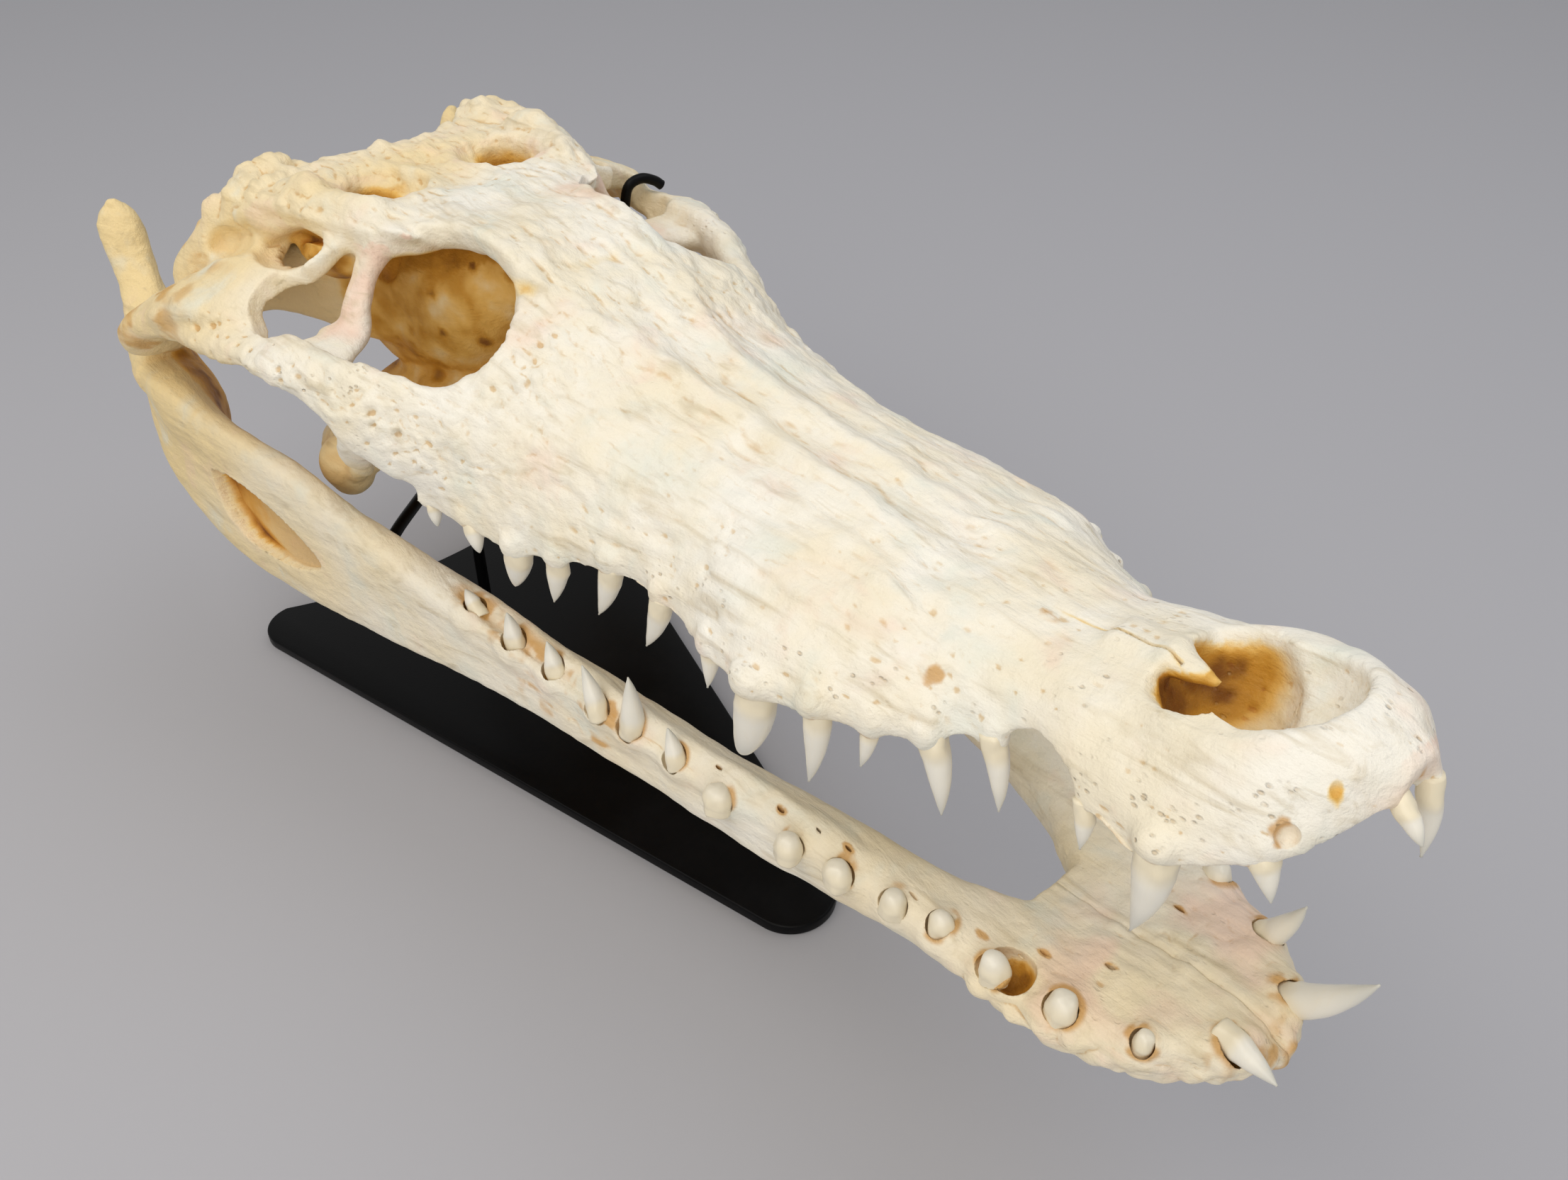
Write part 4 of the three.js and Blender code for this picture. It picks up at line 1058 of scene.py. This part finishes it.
def boneMaterial(name, yellow):
    # old dry bone, boiled and bleached: matt with a faint waxy sheen, fine grain and pores
    material = newMaterial(name)
    place = addNode(material, "ShaderNodeTexCoord").outputs["Object"]
    turned = addNode(material, "ShaderNodeMapping", {
        "Rotation": (0, math.radians(pose["craniumPitch"]), 0),
    }, {"Vector": place}).outputs["Vector"]
    # grain and pores are drawn out along the skull
    long, drawn = (
        addNode(material, "ShaderNodeMapping", {"Scale": (share, 1, 1)}, {"Vector": turned}).outputs["Vector"]
        for share in (0.1, 0.55)
    )
    grain, streak, patch, patchTwo, mottle, patchy = (
        addNode(material, "ShaderNodeTexNoise", settings, {"Vector": at}).outputs["Fac"]
        for at, settings in (
            (long, {"Scale": boneFinish["grainScale"], "Detail": 5, "Roughness": 0.62, "Distortion": 0.8}),
            (long, {"Scale": boneFinish["streakScale"], "Detail": 4, "Roughness": 0.55, "Distortion": 0.9}),
            (place, {"Scale": boneFinish["patchScale"], "Detail": 4, "Roughness": 0.6}),
            (turned, {"Scale": 34, "Detail": 3, "Roughness": 0.6, "Distortion": 0.4}),
            (place, {"Scale": boneFinish["mottleScale"], "Detail": 4, "Roughness": 0.65}),
            (place, {"Scale": 120, "Detail": 2}),
        )
    )
    pores = addNode(material, "ShaderNodeTexVoronoi", {
        "Scale": 1000 / boneFinish["poreSize"],
    }, {"Vector": drawn}).outputs["Distance"]
    hollow, dentShade, warm, blush, stain, porous = (
        addNode(material, "ShaderNodeAttribute", {"attribute_name": key}).outputs["Fac"]
        for key in ("hollow", "dentShade", "warm", "blush", "stain", "porous")
    )
    # pores come in patches, where the bone is porous; the last of these is the roughness
    rough = boneFinish["roughness"]
    poreDepth, poreMask, porousMask, shine = (
        addNode(material, "ShaderNodeMapRange", {
            "From Min": low, "From Max": high, "To Min": least, "To Max": most, "interpolation_type": "SMOOTHSTEP",
        }, {"Value": value}).outputs["Result"]
        for value, low, high, least, most in (
            (pores, 0.12, 0.34, 1, 0), (patchy, 0.48, 0.7, 0, 1), (porous, 0, 0.8, 0.12, 1),
            (mottle, 0.3, 0.7, rough - 0.08, rough + 0.1),
        )
    )
    for mask in (poreMask, porousMask):
        poreDepth = addNode(material, "ShaderNodeMath", {"operation": "MULTIPLY"}, {0: poreDepth, 1: mask}).outputs[0]
    patchyShadeAndStain = addNode(material, "ShaderNodeMath", {
        "operation": "MULTIPLY_ADD", 1: 0.3,
    }, {0: patchy, 2: hollow}).outputs[0]
    colour = tinted(material, boneFinish, "white", [
        (patch, 0.35, 0.7, 1, "ivory"),
        (warm, 0.15, 1.0, yellow, "warm"),
        (patchTwo, 0.52, 0.75, 0.6, "cool"),
        (patchTwo, 0.45, 0.25, 0.35, "blush"),
        (blush, 0.1, 0.9, 0.75, "blush"),
        (streak, 0.5, 0.8, 0.55, "grime"),
        (patchyShadeAndStain, 0.3, 0.6, 0.8, "warm"),  # painted shade of closed-in places and stain in hollows: yellow, amber and at last dark brown
        (patchyShadeAndStain, 0.5, 0.78, 0.95, "ochre"),
        (patchyShadeAndStain, 0.72, 0.95, 0.95, "amber"),
        (patchyShadeAndStain, 0.9, 1.15, 0.85, "brown"),
        # painted shade: small dents darkened by multiplying in a tint
        (dentShade, 0.55, 0.95, 0.65, "dent_shade_tint", "MULTIPLY"),
        (poreDepth, 0.1, 0.9, 0.5, "pore"),
        (stain, 0.2, 0.8, 0.75, "amber"),
    ])
    normal = {}
    for height, strength, distance, inward in (
        (grain, boneFinish["grainBump"], 0.001, False), (streak, boneFinish["streakBump"], 0.0014, False),
        (poreDepth, boneFinish["poreBump"], 0.0009, True), (mottle, boneFinish["mottleBump"], 0.0014, False),
    ):
        bump = addNode(material, "ShaderNodeBump", {
            "Strength": strength, "Distance": distance, "invert": inward,
        }, {"Height": height, **normal})
        normal = {"Normal": bump.outputs["Normal"]}
    shader = addNode(material, "ShaderNodeBsdfPrincipled", {"IOR": 1.5, "Specular IOR Level": boneFinish["specular"]}, {
        "Base Color": colour, "Roughness": shine, **normal,
    })
    addNode(material, "ShaderNodeOutputMaterial", None, {"Surface": shader.outputs["BSDF"]})
    return material


toothFinish = {"neck": "EFE4C8", "crown": "F0ECDF", "tip": "CFCEC4", "roughness": 0.3}


def toothMaterial():
    # enamel over dentine: smooth and slightly glossy, yellow at the neck, greyer where thin near the tip
    material = newMaterial("tooth_enamel_dry")
    place = addNode(material, "ShaderNodeTexCoord").outputs["Object"]
    crown = addNode(material, "ShaderNodeAttribute", {"attribute_name": "crown"}).outputs["Fac"]
    long = addNode(material, "ShaderNodeMapping", {"Scale": (1, 1, 0.12)}, {"Vector": place}).outputs["Vector"]
    lines = addNode(material, "ShaderNodeTexNoise", {"Scale": 500, "Detail": 3}, {"Vector": long}).outputs["Fac"]
    colour = tinted(material, toothFinish, "neck", [
        (crown, 0.02, 0.28, 1, "crown"), (crown, 0.45, 1.0, 0.8, "tip"), (lines, 0.5, 0.75, 0.18, "neck"),
    ])
    bump = addNode(material, "ShaderNodeBump", {"Strength": 0.25, "Distance": 0.0004}, {"Height": lines})
    shader = addNode(material, "ShaderNodeBsdfPrincipled", {"Roughness": toothFinish["roughness"], "IOR": 1.55}, {
        "Base Color": colour, "Normal": bump.outputs["Normal"],
    })
    addNode(material, "ShaderNodeOutputMaterial", None, {"Surface": shader.outputs["BSDF"]})
    return material


standFinish = {"black": "060607", "dust": "141416", "roughness": 0.28, "specular": 0.12, "texture": 0.8}


def powderCoatMaterial():
    # steel under black powder coat: satin, with the faint orange peel of baked powder
    material = newMaterial("steel_black_powder_coat")
    place = addNode(material, "ShaderNodeTexCoord").outputs["Object"]
    peel, dust = (
        addNode(material, "ShaderNodeTexNoise", settings, {"Vector": place}).outputs["Fac"]
        for settings in (
            {"Scale": 1000 / standFinish["texture"], "Detail": 2}, {"Scale": 18, "Detail": 5, "Roughness": 0.65},
        )
    )
    colour = tinted(material, standFinish, "black", [(dust, 0.5, 0.85, 0.5, "dust")])
    bump = addNode(material, "ShaderNodeBump", {"Strength": 0.12, "Distance": 0.0003}, {"Height": peel})
    shine = addNode(material, "ShaderNodeMapRange", {
        "From Min": 0.3, "From Max": 0.8, "To Min": standFinish["roughness"], "To Max": standFinish["roughness"] + 0.12,
        "interpolation_type": "SMOOTHSTEP",
    }, {"Value": dust}).outputs["Result"]
    shader = addNode(material, "ShaderNodeBsdfPrincipled", {
        "IOR": 1.5, "Specular IOR Level": standFinish["specular"],
    }, {"Base Color": colour, "Roughness": shine, "Normal": bump.outputs["Normal"]})
    addNode(material, "ShaderNodeOutputMaterial", None, {"Surface": shader.outputs["BSDF"]})
    return material


print("stage: materials")
skullBone = boneMaterial("bone_dry_bleached", boneFinish["skullYellow"])
jawBone = boneMaterial("bone_dry_ivory", boneFinish["jawYellow"])
enamel = toothMaterial()
powderCoat = powderCoatMaterial()


def finished(piece, material, place, slot, *nodes):
    # puts a piece made in mm into the model's frame, in metres
    piece.data.transform(place)
    piece.data.materials.clear()
    piece.data.materials.append(material)
    smoothShaded(piece)
    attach(piece, "root")
    if nodes:
        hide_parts(*nodes)


def splitAt(piece, x, name):
    # cuts the cranium where the snout begins, and keeps the shading of the whole bone across the cut
    near = np.abs(pointsOf(piece.data)[:, 0] - x) < 4
    normals = normalsOf(piece.data)[near]
    find = treeOf(pointsOf(piece.data)[near])
    front = piece.copy()
    front.data = piece.data.copy()
    front.name = name
    bpy.context.scene.collection.objects.link(front)
    for part, sign in ((piece, 1), (front, -1)):
        cutAway(part, (x, 0, 0), (sign, 0, 0))
        smoothShaded(part)
        points, shading = pointsOf(part.data), normalsOf(part.data)
        for k in np.flatnonzero(np.abs(points[:, 0] - x) < 0.01):
            found = find.find_n(points[k], 4)
            shading[k] = Vector(sum(normals[item[1]] / (item[2] + 0.1) for item in found)).normalized()
        part.data.normals_split_custom_set_from_vertices(shading.tolist())
    return front


thinned(cranium, craniumShape["triangles"])
snout = splitAt(cranium, craniumShape["cutAt"], "snout_bone")
cranium.name = "braincase_and_cheeks"
for jaw in (jawLeft, jawRight):
    thinned(jaw, jawShape["triangles"])
for row in (
    (cranium, skullBone, skullPlace, "bone", "braincase", "cheek_left", "cheek_right"),
    (snout, skullBone, skullPlace, "bone", "snout"),
    (jawLeft, jawBone, jawPlace, "jaw_bone", "mandible_left"),
    (jawRight, jawBone, jawPlace, "jaw_bone", "mandible_right"),
    (teethUpper, enamel, skullPlace, "bone"),
    (teethLower, enamel, jawPlace, "jaw_bone"),
    (plate, powderCoat, standPlace, "black_paint", "stand_plate"),
    (post, powderCoat, standPlace, "black_paint", "stand_post"),
    (armLeft, powderCoat, standPlace, "black_paint", "stand_arm_left"),
    (armRight, powderCoat, standPlace, "black_paint", "stand_arm_right"),
    (hook, powderCoat, standPlace, "black_paint", "stand_hook"),
):
    finished(*row)


# lights: power, place and colour
studio = {
    "floor": "B2B2B7", "floorSize": 6.0, "sky": "FFFFFF", "skyStrength": 0.45, "lightSize": 1.6,
    "key": (11.5, (-0.15, -0.9, 1.7), "FFF8EE"),
    "top": (8, (0.3, 0.6, 1.8), "F4F7FF"),
    "side": (8.5, (1.0, -1.2, 0.8), "FFF8EE"),
}


def softLight(name, power, at, colour):
    light = bpy.data.lights.new(name, "AREA")
    light.shape, light.size, light.energy = "DISK", studio["lightSize"], power
    light.color = hexColour(colour)[:3]
    lamp = bpy.data.objects.new(name, light)
    lamp.location = at
    lamp.rotation_euler = (Vector((0, 0, 0.1)) - Vector(at)).to_track_quat("-Z", "Y").to_euler()
    bpy.context.scene.collection.objects.link(lamp)


def studioFloor():
    bm = bmesh.new()
    bmesh.ops.create_grid(bm, x_segments=2, y_segments=2, size=studio["floorSize"] / 2)
    floor = newPiece("floor", bm)
    material = newMaterial("paper_pale_grey")
    place = addNode(material, "ShaderNodeTexCoord").outputs["Object"]
    fibre = addNode(material, "ShaderNodeTexNoise", {"Scale": 900, "Detail": 3}, {"Vector": place}).outputs["Fac"]
    bump = addNode(material, "ShaderNodeBump", {"Strength": 0.05, "Distance": 0.0002}, {"Height": fibre})
    shader = addNode(material, "ShaderNodeBsdfPrincipled", {
        "Base Color": hexColour(studio["floor"]), "Roughness": 0.8,
    }, {"Normal": bump.outputs["Normal"]})
    addNode(material, "ShaderNodeOutputMaterial", None, {"Surface": shader.outputs["BSDF"]})
    floor.data.materials.append(material)


print("stage: studio")
studioFloor()
for name in ("key", "top", "side"):
    softLight(name, *studio[name])
world = bpy.data.worlds.new("studio")
bpy.context.scene.world = world
world.use_nodes = True
world.node_tree.nodes["Background"].inputs["Color"].default_value = hexColour(studio["sky"])
world.node_tree.nodes["Background"].inputs["Strength"].default_value = studio["skyStrength"]
bpy.context.scene.view_settings.view_transform = "Standard"

# camera: turned 49.634 degrees from the skull's line and looking 39.267 degrees down
view = {"at": (0.39085, -0.26581, 0.51193), "turn": 49.634, "down": 39.267, "focal": 1999, "width": 2212}


def makeCamera():
    turn, down = math.radians(view["turn"]), math.radians(view["down"])
    ahead = Vector((-math.sin(turn) * math.cos(down), math.cos(turn) * math.cos(down), -math.sin(down)))
    right = Vector((math.cos(turn), math.sin(turn), 0))
    up = right.cross(ahead)
    data = bpy.data.cameras.new("camera")
    data.sensor_fit = "HORIZONTAL"
    data.sensor_width = 36
    data.lens = 36 * view["focal"] / view["width"]
    data.clip_start, data.clip_end = 0.01, 20
    camera = bpy.data.objects.new("camera", data)
    camera.matrix_world = Matrix.Translation(view["at"]) @ Matrix((right, up, -ahead)).transposed().to_4x4()
    bpy.context.scene.collection.objects.link(camera)
    bpy.context.scene.camera = camera


makeCamera()
